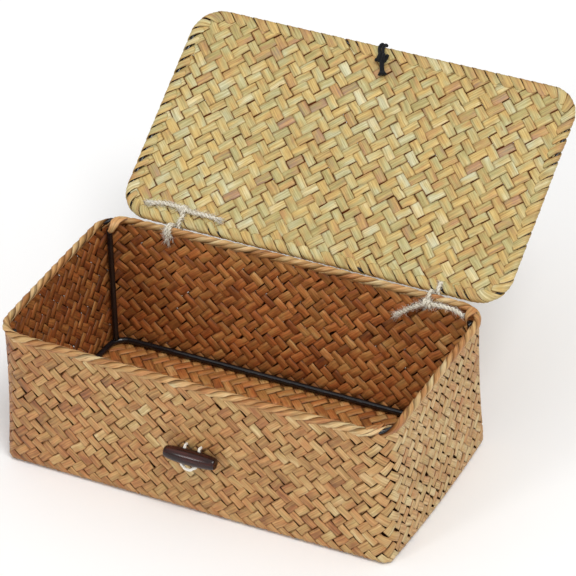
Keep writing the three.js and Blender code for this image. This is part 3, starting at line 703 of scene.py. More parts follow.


# Straw has a cool, olive palette and a warm, orange one; the inside palettes are painted shade for the box and
# painted light for the lid
FIVE, FOUR, SIX = (0.0, 0.25, 0.5, 0.75, 1.0), (0.0, 0.3, 0.6, 1.0), (0.0, 0.15, 0.35, 0.6, 0.8, 1.0)
BODY_OUTSIDE = palettes(
    FIVE, "#7e5330 #a0723f #ba8f55 #c8a569 #d8c18c", "#824d2c #a76a3b #c28850 #cfa066 #dfbf8a"
)
# Darker, more orange copy for the box's inner faces: painted shade and warm bounce light
BODY_INSIDE_SHADED = palettes(
    FIVE, "#6a3b1a #965d2b #b67a3f #cb9654 #dfb87a", "#70371a #9f582a #c3743a #d68d4d #e8b373"
)
RIM = palettes(FOUR, "#99622f #bd8a50 #d2ab70 #e9d6a4", "#a45f33 #c88850 #daa568 #eccd98")
LID_OUTSIDE = palettes(FOUR, "#866038 #ac884e #c2a668 #d8c68e", "#8c5a36 #b4844c #c7a366 #dac38c")
# Paler copy for the lid's inner face, which faces up to the lamps: painted light
LID_INSIDE_LIT = palettes(
    SIX,
    "#b0967a #b49a70 #bca968 #c7bb80 #cfc796 #ddd8b0",
    "#bd9278 #c4966e #cca064 #d8b56c #dec27c #e8d39c",
)
JUTE, COTTON = palettes((0.1, 0.5, 0.9), "#c3b79c #e9e2d0 #fbf8f0", "#d3ccbb #f2eee4 #fdfbf6")
(WIRE_COLOURS,) = palettes((0.3, 0.55, 0.75), "#0a0a0d #131216 #201e25")
(WOOD_COLOURS,) = palettes((0.3, 0.5, 0.66, 0.8), "#140a0a #2a1210 #451d16 #5e2c20")
(ELASTIC_COLOURS,) = palettes((0.2, 0.8), "#060709 #17191d")

# Material of each slot; the last colour of a straw material is the painted shade in its slits and laps
materials = {
    "body_straw": straw_material("body_straw", BODY_OUTSIDE, BODY_INSIDE_SHADED, "#7c4222", "#1c0d06"),
    "rim_straw": straw_material("rim_straw", RIM, RIM, "#6e3d1c", "#4a2812"),
    "lid_straw": straw_material("lid_straw", LID_OUTSIDE, LID_INSIDE_LIT, "#96582c", "#552810"),
    "jute_twine": fibre_material("jute_twine", JUTE),
    "white_cord": fibre_material("white_cotton", COTTON),
    "dark_wire": wire_material(),
    "toggle_wood": wood_material(),
    "black_elastic": elastic_material(),
}


def strip_path(number, lean, low, high, painted_shade_strength):
    """Cells of one strip of a two-over-two twill between two bands.

    Returns its places (a, b), its ride from -1 to 1, and the painted shade at the slits that it goes down into.
    """

    def over(cell):
        return np.where(cell % 4 < 2, 1.0, -1.0) * lean

    cell = np.arange(math.ceil(2 * low), math.floor(2 * high) + 1)
    up = over(cell)
    no_end = np.zeros(len(cell), bool)
    ends = np.stack([over(cell - 1) != up, no_end, no_end, over(cell + 1) != up], axis=1)
    ride = np.where(ends, END_RIDE, 1.0) * up[:, None]
    painted_shade = ends * painted_shade_strength * rng.random((len(cell), 1))
    band = ((cell[:, None] + CELL_STEPS) / 2).ravel()
    return number - lean * band, band, ride.ravel(), painted_shade.ravel()


def wander(count, spread):
    """Random change along a strip, from cell to cell."""
    knots = np.linspace(0, count - 1, max(count // len(CELL_STEPS), 2))
    return np.interp(np.arange(count), knots, rng.normal(0, spread, len(knots)))


def strip_widths(count, base, least=LEAST_WIDTH):
    """Width along one strip: its own width, with a change from cell to cell."""
    own = base * rng.normal(1.0, WIDTH_SPREAD)
    return np.clip(own * (1 + wander(count, WIDTH_WANDER)), least * base, MOST_WIDTH * base)


def strip_tone(spread, middle):
    """Tone of one strip, near the middle of its palette."""
    return float(np.clip(rng.normal(middle, spread), *TONE_LIMITS))


def stain(count):
    """Share of a stain at each of a strip's points: one run of it, faded at both ends."""
    centre, reach = rng.uniform(0, count), rng.uniform(*STAIN_REACH)
    return np.clip(STAIN_CORE - np.abs(np.arange(count) - centre) / reach, 0, 1)


def wall_surface(u, v):
    """Middle of the woven wall, v up from the fold at the base and under the base where v is negative."""
    tilt = (1 - np.clip(v / FOLD_HALF, -1, 1)) * np.pi / 4
    inset = FOLD * (1 - np.cos(tilt)) + np.maximum(-v - FOLD_HALF, 0)
    z = WALL / 2 + FOLD * (1 - np.sin(tilt)) + np.maximum(v - FOLD_HALF, 0)
    spot, facing = walk(wall_shape(z, WALL / 2 + inset), WALL_CELLS, u)
    normals = np.column_stack([facing * np.cos(tilt)[:, None], -np.sin(tilt)])
    return np.column_stack([spot, z]), normals


def wall_strip(gather, u, v, ride, width, tone, painted_shade):
    """Strip whose section lies on the wall's surface, so that it bends with the fold and the corners."""
    heading = unit(np.column_stack([np.gradient(u) * WALL_PITCH, np.gradient(v)]))
    side = STRIP_SECTION[None, :, 0] * width[:, None]
    lift = ride[:, None] + STRIP_SECTION[None, :, 1] * STRIP_THICKNESS
    side_u = u[:, None] - heading[:, 1:] * side / WALL_PITCH
    side_v = v[:, None] + heading[:, :1] * side
    points, normals = wall_surface(side_u.ravel(), side_v.ravel())
    rings = (points + normals * lift.reshape(-1, 1)).reshape(*side.shape, 3)
    gather.strip_rings(rings, tone, painted_shade)


def end_tone_and_painted_light(share):
    """Change towards the two ends of the box: a darker tone at the left end, and painted light that makes the
    right wall paler.
    """
    left = LEFT_END_TONE * np.abs(share) ** LEFT_END_POWER
    return np.where(share > 0, RIGHT_END_PAINTED_LIGHT * share**RIGHT_END_POWER, left)


def weave_walls():
    band_height = BOX_HEIGHT / WALL_BANDS
    top = (RIM_CENTRE_Z - STRIP_END_BELOW_RIM) / band_height
    for lean, name in ((1, "weave_wall_rising_left"), (-1, "weave_wall_rising_right")):
        gather = Collector()
        for number in range(2 * sum(WALL_CELLS)):
            u, band, ride, painted_shade = strip_path(number, lean, -UNDER_BASE / band_height, top, WALL_SLIT_SHADE[lean])
            u = u + wander(len(u), WALL_WANDER)
            v = band * band_height
            share = wall_surface(u, v)[0][:, 0] / BASE_HALF_X
            ride = ride * RIDE * lerp(FOLD_RIDE, 1.0, np.clip(np.abs(v - FOLD_HALF) / FOLD_FADE, 0, 1))
            # Paler right wall: painted light, added to the strip's own random tone
            tone = strip_tone(*WALL_TONE) + end_tone_and_painted_light(share)
            width = strip_widths(len(u), WALL_STRIP_WIDTH, WALL_LEAST_WIDTH)
            # Stronger painted shade in the slits on the right wall
            painted_shade = painted_shade * (1 + RIGHT_END_SLIT_SHADE * np.clip(share, 0, 1) ** RIGHT_END_POWER)
            wall_strip(gather, u, v, ride, width, tone[:, None], painted_shade[:, None])
        gather.build(name, "box", "body_straw", "woven_body")


def inside_rounded(x, y, half_x, half_y, radius):
    corner_x = np.maximum(np.abs(x) - (half_x - radius), 0)
    corner_y = np.maximum(np.abs(y) - (half_y - radius), 0)
    return np.hypot(corner_x, corner_y) <= radius


def weave_floor():
    """Base: strips in line with those of the walls, a little above the fold."""
    half_x, half_y = BASE_HALF_X - WALL, BASE_HALF_Y - WALL
    long_cells, short_cells = WALL_CELLS
    reach = (long_cells + short_cells) // 2
    gather = Collector()
    for lean in (1, -1):
        for number in np.arange(-reach, reach + 1) + 0.5:
            u, band, ride, painted_shade = strip_path(number, lean, -short_cells / 2, short_cells / 2, FLOOR_SLIT_SHADE)
            x = (u + wander(len(u), WALL_WANDER)) / long_cells * 2 * half_x
            y = band / short_cells * 2 * half_y
            keep = np.abs(x) <= half_x - STRIP_END_OFF_WALL
            keep &= np.abs(y) <= half_y - STRIP_END_OFF_WALL
            if keep.sum() < FEWEST_POINTS:
                continue
            x, y, ride, painted_shade = x[keep], y[keep], ride[keep], painted_shade[keep]
            swollen_y = y * (1 + BASE_LONG_SWELL / half_y * (1 - (x / half_x) ** 2))
            swollen_x = x * (1 + BASE_SHORT_SWELL / half_x * (1 - (y / half_y) ** 2))
            points = np.column_stack([swollen_x, swollen_y, FLOOR - WALL / 2 + ride * RIDE])
            normals = np.tile([0.0, 0.0, -1.0], (len(points), 1))
            tone = strip_tone(*FLOOR_TONE)
            gather.strip(points, normals, strip_widths(len(points), FLOOR_STRIP_WIDTH), tone, painted_shade[:, None])
    gather.build("weave_base", "box", "body_straw", "woven_body")


def weave_lid():
    """Lid panel: the same twill with its bands across the lid, tucked under the hem."""
    inset = HEM_RADIUS + GAP
    half_x, half_y, radius = LID_HALF_X - inset, LID_HALF_Y - inset, LID_CORNER - inset
    bands = (half_x + abs(LID_WEAVE_SHIFT)) / LID_PITCH
    reach = int((half_x + half_y + abs(LID_WEAVE_SHIFT)) / LID_PITCH) + 1
    for lean, name in ((1, "weave_lid_rising_left"), (-1, "weave_lid_rising_right")):
        gather = Collector()
        for number in range(-reach, reach + 1):
            v, band, ride, painted_shade = strip_path(number, lean, -bands, bands, LID_SLIT_SHADE[lean])
            x, y = band * LID_PITCH + LID_WEAVE_SHIFT, (v + wander(len(v), LID_WANDER)) * LID_PITCH
            keep = inside_rounded(x, y, half_x, half_y, radius)
            if keep.sum() < FEWEST_POINTS:
                continue
            points = np.column_stack([x + LID_SHIFT, y + LID_CENTRE_Y, LID_Z + ride * RIDE])[keep]
            normals = np.tile([0.0, 0.0, 1.0], (len(points), 1))
            front = np.clip((LID_CENTRE_Y - points[:, 1] - LID_FADE_FROM) / LID_FADE_REACH, 0, 1)
            tone = strip_tone(*LID_TONE) - LID_FADE * front
            if lean > 0 and rng.random() < LID_STAINED:
                tone = lerp(tone, LID_STAIN_TONE, stain(len(points)))
            widths = strip_widths(len(points), LID_STRIP_WIDTH, LID_LEAST_WIDTH)
            facing = lid_to_world(normals) - HINGE
            gather.strip(lid_to_world(points), facing, widths, tone[:, None], painted_shade[keep][:, None])
        gather.build(name, "lid", "lid_straw", "lid_panel")


class Fold:
    """Profile that strips are folded over, and the outline that it runs round."""

    def __init__(self, shape, cells, pitch, z, legs, radius, arc):
        angles = np.radians(np.linspace(*arc, FOLD_ARC_STEPS))
        bend = np.column_stack([radius * np.cos(angles), radius * np.sin(angles)])
        self.profile = np.vstack([legs[0], bend, legs[1]])
        self.reach = run_length(self.profile)
        self.length = self.reach[-1]
        tangent = unit(np.gradient(self.profile, axis=0))
        self.normal = np.column_stack([tangent[:, 1], -tangent[:, 0]])
        self.shape, self.cells, self.pitch, self.z = shape, cells, pitch, z

    def at(self, along, over, lift):
        """Points at a distance along the outline and over the profile, lifted off it."""
        over = np.clip(over, 0, self.length)
        out, rise = (
            np.interp(over, self.reach, line) + lift * np.interp(over, self.reach, normal)
            for line, normal in zip(self.profile.T, self.normal.T)
        )
        spot, facing = walk(self.shape, self.cells, along / self.pitch)
        return np.concatenate([spot + facing * out[..., None], (self.z + rise)[..., None]], axis=-1)

    def strip(
        self, gather, middle, slant, width, tone, section, to_world=as_is, inside=STRIP_INSIDE, painted_lap_shade_strength=0.0
    ):
        """Strip over the whole profile, of a thickness and a roll, with a width at each step.

        It crosses its middle at a place and moves along by a slant on the way.
        """
        thickness, roll = section
        share = np.linspace(0, 1, len(width))[:, None]
        heading = np.array([slant, self.length]) / math.hypot(slant, self.length)
        across, rise = STRIP_SECTION[None, :, 0], STRIP_SECTION[None, :, 1]
        side = across * width[:, None]
        along = middle + (share - 0.5) * slant - heading[1] * side
        over = share * self.length + heading[0] * side
        rings = self.at(along, over, rise * thickness + side * math.tan(roll))
        rings = to_world(rings.reshape(-1, 3)).reshape(rings.shape)
        # Painted shade on the part of the strip that laps under its neighbour's raised edge
        painted_lap_shade = painted_lap_shade_strength * np.clip((across - LAP_FROM) / LAP_OVER, 0, 1)
        gather.strip_rings(rings, tone, painted_lap_shade, inside)


def worn_shift(place):
    """How far a strip beside a worn place of the rim has moved off it."""
    for worn in RIM_WORN_PLACES:
        if abs(place - worn) < RIM_FOLD_CELLS:
            beside = RIM_WORN_SHIFT + RIM_FOLD_CELLS / 2 * WALL_PITCH
            return math.copysign(beside, place - worn) - (place - worn) * WALL_PITCH
    return 0.0


def fold_rim():
    """Rim roll: long strips come up the outside, lie over the wire on a flat slant and go down the inside."""
    gather = Collector()
    around = 2 * sum(WALL_CELLS)
    shape = wall_shape(RIM_CENTRE_Z, WALL / 2)
    fold = Fold(shape, WALL_CELLS, WALL_PITCH, RIM_CENTRE_Z, RIM_LEGS, RIM_FOLD_RADIUS, RIM_FOLD_ARC)
    count = round(around / RIM_FOLD_CELLS)
    for number in range(count):
        place = number * around / count
        shift, slack = worn_shift(place), rng.normal(0, RIM_FOLD_SLACK)
        middle = place * WALL_PITCH + (shift if shift else slack)
        slant = RIM_FOLD_SLANT * rng.uniform(*RIM_SLANT_SHARES) * WALL_PITCH
        width = strip_widths(RIM_FOLD_STEPS, RIM_FOLD_WIDTH)
        fold.strip(gather, middle, slant, width, strip_tone(*RIM_TONE), RIM_SECTION, painted_lap_shade_strength=RIM_PAINTED_LAP_SHADE)
    worn = [place + side * RIM_WORN_REACH for place in RIM_WORN_PLACES for side in (-1, 1)]
    cuts = sorted([0, around, *worn])
    for start, end in zip(cuts[::2], cuts[1::2]):
        spot, _ = walk(shape, WALL_CELLS, np.linspace(start, end, round(RIM_CORE_STEPS * (end - start))))
        core = np.column_stack([spot, np.full(len(spot), RIM_CENTRE_Z)])
        gather.tube(core, RIM_CORE_RADIUS, RIM_CORE_SIDES, strip_tone(*RIM_CORE_TONE))
    wrap_corners(gather, shape)
    gather.build("rim_folds", "box", "rim_straw", "rim_roll")


def wrap_corners(gather, shape):
    """Short strips over the rim and the top of the post inside it, at all corners but the front left one."""
    post_reach = WALL / 2 + POST_OFF_WALL + 2 * WIRE_RADIUS
    legs = (WRAP_OUTER_LEG, [(out - post_reach, rise) for out, rise in WRAP_INNER_LEG])
    fold = Fold(shape, WALL_CELLS, WALL_PITCH, RIM_CENTRE_Z, legs, WRAP_RADIUS, WRAP_ARC)
    corners = np.cumsum([*WALL_CELLS, WALL_CELLS[0]])
    for corner, sign, slant in zip(corners, (1, -1, 1), WRAP_SLANTS):
        middle = corner * WALL_PITCH + sign * (POST_PAST_CORNER - WRAP_LEAD * slant)
        width = strip_widths(WRAP_STEPS, WRAP_WIDTH)
        tone = strip_tone(*WRAP_TONE)
        fold.strip(gather, middle, sign * slant, width, tone, (RIM_FOLD_THICKNESS, 0.0))


def hem_crossings(turn_length):
    """Places round the lid's edge where strips of its weave cross the edge wire, in cells, each with its side."""
    shape = lid_shape(HEM_RADIUS)
    halves = (shape["half_x"], shape["half_y"])
    start = 0
    for side in range(4):
        cells, along, out = LID_CELLS[side % 2], halves[side % 2], halves[1 - side % 2]
        half = along - shape["radius"] * (1 - math.pi / 4)
        first = -out - turn_length + (LID_WEAVE_SHIFT if side < 2 else -LID_WEAVE_SHIFT)
        lowest, highest = math.ceil((-half - first) / LID_PITCH), math.floor((half - first) / LID_PITCH)
        for place in np.arange(lowest, highest + 1) * LID_PITCH + first:
            yield side, start + cells * (place / half + 1) / 2
        start += cells


def fold_hem():
    """Lid hem: strips of the weave leave the inner face, go round the edge wire and back on the outer face."""
    gather = Collector()
    legs = ([(out, -rise) for out, rise in HEM_LEG], HEM_LEG[::-1])
    fold = Fold(lid_shape(HEM_RADIUS), LID_CELLS, LID_PITCH, LID_Z, legs, HEM_FOLD_RADIUS, HEM_FOLD_ARC)
    for side, crossing in hem_crossings(fold.length / 2 - HEM_FOLD_REACH):
        middle = (crossing + rng.normal(0, HEM_SPREAD)) * LID_PITCH
        narrowed = rng.uniform(*HEM_GAP_WIDTHS) if rng.random() < HEM_GAPS[side] else 1.0
        width = strip_widths(HEM_FOLD_STEPS, HEM_FOLD_WIDTH * narrowed)
        tone = strip_tone(*(HEM_FRONT_TONE if side == 0 else HEM_TONE))
        fold.strip(gather, middle, -fold.length, width, tone, HEM_SECTION, lid_outline_to_world, HEM_INSIDE)
    gather.build("hem_folds", "lid", "lid_straw", "lid_hem")


def wire_ring(name, shape, cells, z, radius, body, node, to_world=as_is):
    """Closed ring of wire round an outline."""
    spot, _ = walk(shape, cells, np.linspace(0, 2 * sum(cells), RING_STEPS))
    gather = Collector()
    gather.tube(to_world(np.column_stack([spot, np.full(len(spot), z)])), radius, WIRE_SIDES)
    gather.build(name, body, "dark_wire", node)


def foot_ring_shape():
    shape = wall_shape(FOOT_RING_Z, WALL + GAP + WIRE_RADIUS)
    return {**shape, "radius": FOOT_RING_CORNER}


def corner_point(shape, sign_x, sign_y, z):
    cut_x = shape["radius"] * (1 - math.cos(POST_ANGLE))
    cut_y = shape["radius"] * (1 - math.sin(POST_ANGLE))
    return np.array([sign_x * (shape["half_x"] - cut_x), sign_y * (shape["half_y"] - cut_y), z])


def wire_frame():
    foot_shape, rim_shape, lid_edge = foot_ring_shape(), wall_shape(RIM_CENTRE_Z, WALL / 2), lid_shape(HEM_RADIUS)
    wire_ring("foot_ring_wire", foot_shape, WALL_CELLS, FOOT_RING_Z, WIRE_RADIUS, "box", "frame_foot_ring")
    wire_ring("rim_ring_wire", rim_shape, WALL_CELLS, RIM_CENTRE_Z, RIM_WIRE_RADIUS, "box", "frame_rim_ring")
    name, node = "lid_edge_wire_round", "lid_edge_wire"
    wire_ring(name, lid_edge, LID_CELLS, LID_Z, LID_WIRE_RADIUS, "lid", node, lid_outline_to_world)
    top_shape = wall_shape(RIM_CENTRE_Z, WALL + POST_OFF_WALL + WIRE_RADIUS)
    share = np.linspace(0, 1, POST_STEPS)
    swell = 1 + FOOT_SWELL * np.exp(-share * FOOT_SWELL_FADE)
    for side_y, sign_y in (("back", 1), ("front", -1)):
        for side_x, sign_x in (("left", -1), ("right", 1)):
            foot = corner_point(foot_shape, sign_x, sign_y, FOOT_RING_Z + WIRE_RADIUS + GAP)
            top = corner_point(top_shape, sign_x, sign_y, RIM_CENTRE_Z - POST_UNDER_WRAP)
            gather = Collector()
            gather.tube(lerp(foot, top, share[:, None]), WIRE_RADIUS * swell, WIRE_SIDES)
            name = f"post_{side_y}_{side_x}"
            gather.build(name, "box", "dark_wire", f"frame_{name}")


def lay_plies(gather, line, radius, plies, pitch):
    """Twisted cord along a line: plies that wind round it."""
    _, first, second = frames_along(line)
    length = run_length(line)
    offset = radius * PLY_OFFSETS[plies]
    for ply in range(plies):
        angle = (2 * np.pi * (length / pitch + ply / plies))[:, None]
        path = line + offset * (np.cos(angle) * first + np.sin(angle) * second)
        swell = PLY_SWELL * np.sin(length * PLY_SWELL_PACE + ply * PLY_SWELL_START)
        gather.tube(path, (radius - offset) * (1 + swell), PLY_SIDES, tone=rng.uniform(*PLY_TONES))


def held_in(path, centre, towards, reach):
    """Path of a fibre whose part on one side of a line along X stays within a distance of that line."""
    offset = path - centre
    offset[:, 0] = 0
    share = np.where(offset @ towards > 0, np.minimum(reach / np.linalg.norm(offset, axis=1), 1), 1)
    return path - offset * (1 - share[:, None])


def fibre_path(start, heading, bend, length, shares, root=0.0):
    """Bent path of one fibre, of a random share of a length."""
    bow = rng.normal(0, bend, 3)
    reach = length * rng.uniform(*shares) + root
    t = np.linspace(0, 1, len(FIBRE_TAPER))[:, None]
    return start + heading * reach * t + bow * reach * t**2


def add_fuzz(gather, line, radius, fuzz, hold=None):
    """Loose fibres that stand off a cord, and may be held in on one side."""
    per_mm, length, thickness = fuzz
    along, first, second = frames_along(line)
    for _ in range(int(run_length(line)[-1] * per_mm)):
        i = rng.integers(1, len(line) - 1)
        angle = rng.uniform(0, 2 * np.pi)
        out = np.cos(angle) * first[i] + np.sin(angle) * second[i]
        heading = along[i] * rng.choice([-1, 1]) * rng.uniform(*FUZZ_ALONG) + out * rng.uniform(*FUZZ_OUT)
        path = fibre_path(line[i] + out * radius * FUZZ_ROOT, unit(heading), FUZZ_BEND, length, FUZZ_LENGTHS)
        if hold is not None:
            path = held_in(path, *hold)
        gather.tube(path, thickness * FIBRE_TAPER, FIBRE_SIDES, tone=rng.uniform(*FUZZ_TONES))


def add_frayed_end(gather, end, heading, radius, length):
    """Brush of fibres at a cut end."""
    side = unit(np.cross(heading, FRAY_HELPER))
    other = np.cross(heading, side)
    for _ in range(FRAY_COUNT):
        angle, share = rng.uniform(0, 2 * np.pi), math.sqrt(rng.random())
        out = np.cos(angle) * side + np.sin(angle) * other
        start = end + out * share * radius * FRAY_WIDTH - heading * FRAY_ROOT
        lean = unit(heading + out * share * rng.uniform(*FRAY_OUT))
        path = fibre_path(start, lean, FRAY_BEND, length, FRAY_LENGTHS, FRAY_ROOT)
        gather.tube(path, FRAY_TAPER, FIBRE_SIDES, tone=rng.uniform(*FRAY_TONES))


def ring_line(centre, radius, drift):
    """Turn of cord in a plane across X, its ends side by side."""
    angle = np.linspace(0, 2 * np.pi, TURN_STEPS + 1)
    across = np.linspace(-drift / 2, drift / 2, TURN_STEPS + 1)
    x, y, z = centre
    return np.column_stack([x + across, y + radius * np.cos(angle), z + radius * np.sin(angle)])


def knot_line(centre, length, radius, turns=2.0):
    """Coil of cord along X that stands for the drawn-up turns of a knot."""
    t = np.linspace(0, 1, KNOT_STEPS)
    angle = 2 * np.pi * turns * t
    x, y, z = centre
    return np.column_stack([x + (t - 0.5) * length, y + radius[0] * np.cos(angle), z + radius[1] * np.sin(angle)])


def twine_piece(name, runs, body, node, radius, hold=None, to_world=as_is, frayed=()):
    """Jute twine along one or more lines, with loose fibres and frayed ends."""
    gather = Collector()
    runs = [to_world(line) for line in runs]
    for line in runs:
        lay_plies(gather, line, radius, 2, TWINE_LAY)
        add_fuzz(gather, line, radius, TWINE_FUZZ, hold)
    for index, length in frayed:
        line = runs[index]
        add_frayed_end(gather, line[-1], unit(line[-1] - line[-4]), radius, length)
    gather.build(name, body, "jute_twine", node)


def tail_line(knot, length, shares):
    return smooth_line([np.array(knot) + np.array(share) * length for share in shares], TAIL_SPACING)


def ties():
    up = np.array([0, 0, 1.0])
    lid_down = lid_to_world(-up) - HINGE
    for side, x in (("left", TIE_LEFT_X), ("right", TIE_RIGHT_X)):
        centre = np.array([x - TIE_TURN_OFFSET, rim_centre_y(x), RIM_CENTRE_Z])
        rim_turns = [ring_line(centre, RIM_TURN_RADIUS, TURN_DRIFT)]
        frayed = ()
        if side == "left":
            beside = centre - (SECOND_TURN_OFFSET, 0, 0)
            inner = beside + (0.8, -RIM_TURN_RADIUS, 0)
            end = [inner, inner + (0.2, -0.1, -2.5), inner + (-0.4, 0.3, -5.0)]
            rim_turns.append(ring_line(beside, RIM_TURN_RADIUS, SECOND_TURN_DRIFT))
            rim_turns.append(smooth_line(end, SHORT_SPACING))
            frayed = ((2, FRAY),)
        hold = (centre, up, RIM_TURN_RADIUS + TWINE_RADIUS)
        name, node = f"tie_{side}_round_rim", f"tie_{side}_rim_turn"
        twine_piece(name, rim_turns, "box", node, TWINE_RADIUS, hold, frayed=frayed)
        hem = np.array([x + TIE_TURN_OFFSET, LID_REAR_Y - HEM_RADIUS, LID_Z])
        hem_turns = [ring_line(hem, HEM_TURN_RADIUS, TURN_DRIFT)]
        hold = (lid_to_world(hem), lid_down, HEM_TURN_RADIUS + TWINE_RADIUS)
        name, node = f"tie_{side}_round_hem", f"tie_{side}_lid_turn"
        twine_piece(name, hem_turns, "lid", node, TWINE_RADIUS, hold, lid_to_world)
    lid_knot(lid_down)
    rim_knot()


def lid_knot(lid_down):
    """Left tie: a knot on the lid's inner face with two tails, and the strand from it to the hem."""
    hole_y = LID_REAR_Y - HEM_RADIUS - HEM_TURN_RADIUS
    strand = [LID_KNOT, (TIE_LEFT_X + 0.4, hole_y - 1.6, 1.9), (TIE_LEFT_X + 1.2, hole_y, 3.2)]
    runs = [
        tail_line(LID_KNOT, LID_TAIL_LEFT, [(0, 0, 0), (-0.35, -0.03, 0), (-0.7, -0.02, 0), (-1, 0.06, 0)]),
        tail_line(LID_KNOT, LID_TAIL_RIGHT, [(0, 0, 0), (0.3, 0.04, 0), (0.65, 0.02, 0), (1, 0.05, 0)]),
        knot_line(LID_KNOT, 3.8, (1.3, 0.4)),
        smooth_line(strand, SHORT_SPACING),
    ]
    hold = (lid_to_world(LID_KNOT), lid_down, 2 * TWINE_FULL_RADIUS)
    frayed = ((0, FRAY), (1, FRAY))
    twine_piece("tie_left_lid_knot", runs, "lid", "tie_left_knot", TWINE_FULL_RADIUS, hold, lid_to_world, frayed)


def rim_knot():
    """Right tie: a knot inside the rim with two tails."""
    knot = (TIE_RIGHT_X, rim_centre_y(TIE_RIGHT_X) - RIM_KNOT_INSIDE, RIM_CENTRE_Z + GAP)
    down = [(0, 0, 0), (-0.35, 0.02, -0.18), (-0.7, 0.07, -0.45), (-1, 0.11, -0.7)]
    level = [(0, 0, 0), (0.36, 0.02, 0.02), (0.77, 0.04, -0.02), (1, 0.02, -0.11)]
    runs = [
        tail_line(knot, RIM_TAIL_DOWN, down),
        tail_line(knot, RIM_TAIL_LEVEL, level),
        knot_line(knot, 4.6, (1.5, 1.5)),
    ]
    frayed = ((0, FRAY), (1, SHORT_FRAY))
    twine_piece("tie_right_rim_knot", runs, "box", "tie_right_knot", TWINE_FULL_RADIUS, frayed=frayed)


def elastic_loop():
    """Free loop of elastic that hangs from the lid's front edge."""
    right = [(x, 0, share * LOOP_LENGTH) for x, share in LOOP_SIDE]
    left = [(-x, 0, z) for x, _, z in reversed(right)]
    hem_y = LID_FRONT_Y + HEM_RADIUS
    reach = HEM_RADIUS + ELASTIC_RADIUS + 2 * GAP
    out, rise = reach * math.cos(ELASTIC_PIVOT_ANGLE), reach * math.sin(ELASTIC_PIVOT_ANGLE)
    pivot = lid_to_world([(ELASTIC_SHIFT, hem_y - out, LID_Z + rise)])[0]
    points = np.array([*right, (0, 0, -LOOP_LENGTH), *left]) + pivot
    line = smooth_line(points, LOOP_PATH_SPACING)
    fine = smooth_line(points, LOOP_SPACING)
    gather = Collector()
    gather.tube(fine, ELASTIC_RADIUS, LOOP_SIDES)
    piece = gather.build("elastic_loop", "closure", "black_elastic", "closure_loop")


def elastic_knot():
    """Knot on the lid's inner face: two strands over the front edge, a drawn-up turn, and a short tail."""
    hem_y = LID_FRONT_Y + HEM_RADIUS
    reach = HEM_RADIUS + GAP + ELASTIC_RADIUS
    knot = np.array(ELASTIC_KNOT)
    gather = Collector()
    for side in (-1, 1):
        x = ELASTIC_SHIFT + side * ELASTIC_STRAND_X
        over = [
            (x, hem_y + reach * math.cos(angle), LID_Z + reach * math.sin(angle))
            for angle in np.linspace(-0.5 * np.pi, -np.pi, 6)
        ]
        line = smooth_line([knot + (side * ELASTIC_STRAND_X, 0, 0), *over], SHORT_SPACING)
        gather.tube(lid_to_world(line), ELASTIC_RADIUS, ELASTIC_SIDES)
    coil = knot_line(knot, 6.0, (2.2, 0.9), turns=2.5)
    gather.tube(lid_to_world(coil), ELASTIC_RADIUS * ELASTIC_KNOT_FULLNESS, ELASTIC_SIDES)
    end = np.array(ELASTIC_TAIL_END)
    tail = smooth_line([knot, (knot + end) / 2 - (0, 0, GAP), end], SHORT_SPACING)
    spread = np.exp(-((np.linspace(1, 0, len(tail)) / ELASTIC_TAIL_FADE) ** 2))
    gather.tube(lid_to_world(tail), lerp(ELASTIC_TAIL_RADIUS, ELASTIC_TAIL_SPREAD, spread), LOOP_SIDES)
    gather.build("elastic_knot", "lid", "black_elastic", "closure_loop_knot")


def toggle_places():
    """Middle of the toggle, and the place where its cord leaves the wall."""
    face = -wall_reach_y(TOGGLE_HEIGHT, TOGGLE_SHIFT)
    cord_face = -wall_reach_y(TOGGLE_CORD_HEIGHT, TOGGLE_SHIFT)
    middle = np.array([TOGGLE_SHIFT, face - TOGGLE_OFF_WALL - TOGGLE_RADIUS, TOGGLE_HEIGHT])
    axis = np.array([TOGGLE_SHIFT, cord_face - GAP - 2 * TOGGLE_CORD_RADIUS, TOGGLE_CORD_HEIGHT])
    return middle, axis


def toggle_barrel():
    """Turned barrel with blunt ends and two drilled holes."""
    middle, _ = toggle_places()
    share = np.sin(np.linspace(-np.pi / 2, np.pi / 2, BARREL_RINGS))[:, None]
    radius = lerp(TOGGLE_END_RADIUS, TOGGLE_RADIUS, np.sqrt(np.maximum(1 - share**2, 0)))
    angle = np.linspace(0, 2 * np.pi, BARREL_SIDES, endpoint=False)
    along = np.repeat(share * TOGGLE_HALF, BARREL_SIDES, axis=1)
    points = np.stack([along, radius * np.cos(angle), radius * np.sin(angle)], axis=-1)
    faces = tube_faces(np.arange(BARREL_RINGS * BARREL_SIDES).reshape(BARREL_RINGS, BARREL_SIDES))
    piece = bpy.data.objects.new("toggle", new_mesh("toggle", points.reshape(-1, 3), faces))
    bpy.context.collection.objects.link(piece)
    piece.location = Vector(middle) * MM
    for side in (-1, 1):
        bpy.ops.mesh.primitive_cylinder_add(
            vertices=HOLE_SIDES,
            radius=(TOGGLE_CORD_RADIUS + HOLE_CLEARANCE) * MM,
            depth=4 * TOGGLE_RADIUS * MM,
            location=(middle + (side * TOGGLE_CORD_X, 0, 0)) * MM,
            rotation=(-TOGGLE_TILT, 0, 0),
        )
        drill = bpy.context.object
        modifier = piece.modifiers.new("hole", "BOOLEAN")
        modifier.object = drill
        modifier.operation = "DIFFERENCE"
        bpy.context.view_layer.objects.active = piece
        bpy.ops.object.modifier_apply(modifier="hole")
        bpy.data.objects.remove(drill)
    shade_smooth(piece.data)
    piece.data.set_sharp_from_angle(angle=SHARP_ANGLE)
    settle(piece, "toggle", "toggle_wood", "toggle_barrel")


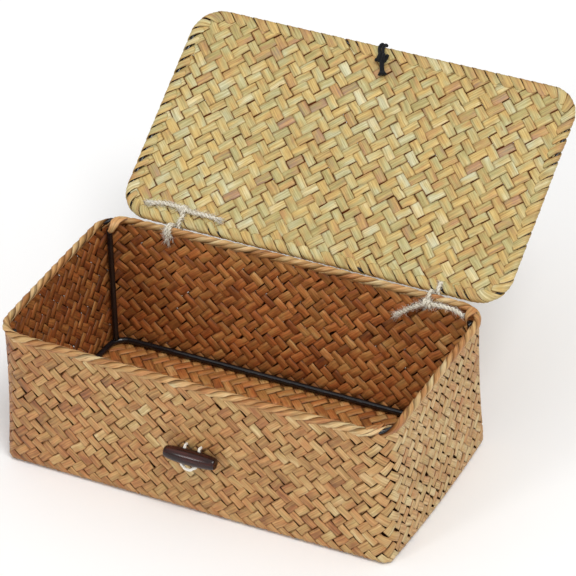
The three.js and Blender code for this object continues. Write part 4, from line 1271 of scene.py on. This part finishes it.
def toggle_cord():
    """White cord: from the wall down through the toggle and across below it."""
    middle, axis = toggle_places()
    slant = np.array([0, math.sin(TOGGLE_TILT), math.cos(TOGGLE_TILT)])
    lowest = -TOGGLE_RADIUS - TOGGLE_CORD_SLACK

    def along_hole(x, distance):
        return middle + (x, 0, 0) + slant * distance

    down = [
        axis + (TOGGLE_CORD_X, TOGGLE_CORD_STUB, 0),
        axis + (TOGGLE_CORD_X, 0, 0),
        along_hole(TOGGLE_CORD_X, TOGGLE_RADIUS),
        along_hole(TOGGLE_CORD_X, 0),
        along_hole(TOGGLE_CORD_X, -TOGGLE_RADIUS),
        along_hole(0.7 * TOGGLE_CORD_X, 0.4 * lowest - 0.6 * TOGGLE_RADIUS),
        along_hole(0.42 * TOGGLE_CORD_X, 0.8 * lowest - 0.2 * TOGGLE_RADIUS),
    ]
    up = [2 * np.array([TOGGLE_SHIFT, 0, 0]) + point * (-1, 1, 1) for point in reversed(down)]
    gather = Collector()
    line = smooth_line([*down, along_hole(0, lowest), *up], CORD_SPACING)
    lay_plies(gather, line, TOGGLE_CORD_RADIUS, 3, CORD_LAY)
    add_fuzz(gather, line, TOGGLE_CORD_RADIUS, CORD_FUZZ)
    gather.build("toggle_cotton_cord", "toggle", "white_cord", "toggle_cord")
    toggle_cord_knot(axis)


def toggle_cord_knot(axis):
    """The cord's two ends go through the wall and meet in a knot inside it."""
    outside = axis[1] + GAP + 2 * TOGGLE_CORD_RADIUS
    inside = outside + WALL
    x, y, z = knot = np.array([TOGGLE_SHIFT, inside + GAP + 2.2, TOGGLE_CORD_HEIGHT])
    gather = Collector()
    for side in (-1, 1):
        ends = [
            (x + side * TOGGLE_CORD_X, outside - GAP, z),
            (x + side * TOGGLE_CORD_X, inside + 2 * TOGGLE_CORD_RADIUS, z),
            (x + side * TOGGLE_CORD_X / 2, y, z),
            knot,
        ]
        lay_plies(gather, smooth_line(ends, CORD_SPACING), TOGGLE_CORD_RADIUS, 3, CORD_KNOT_LAY)
    lay_plies(gather, knot_line(knot, 3.4, (1.2, 1.2)), TOGGLE_CORD_RADIUS, 3, CORD_KNOT_LAY)
    gather.build("toggle_cord_inner_knot", "box", "white_cord", "toggle_cord_knot")


make_camera()
elastic_loop()
make_stage()
weave_walls()
weave_floor()
weave_lid()
fold_rim()
fold_hem()
wire_frame()
ties()
elastic_knot()
toggle_barrel()
toggle_cord()
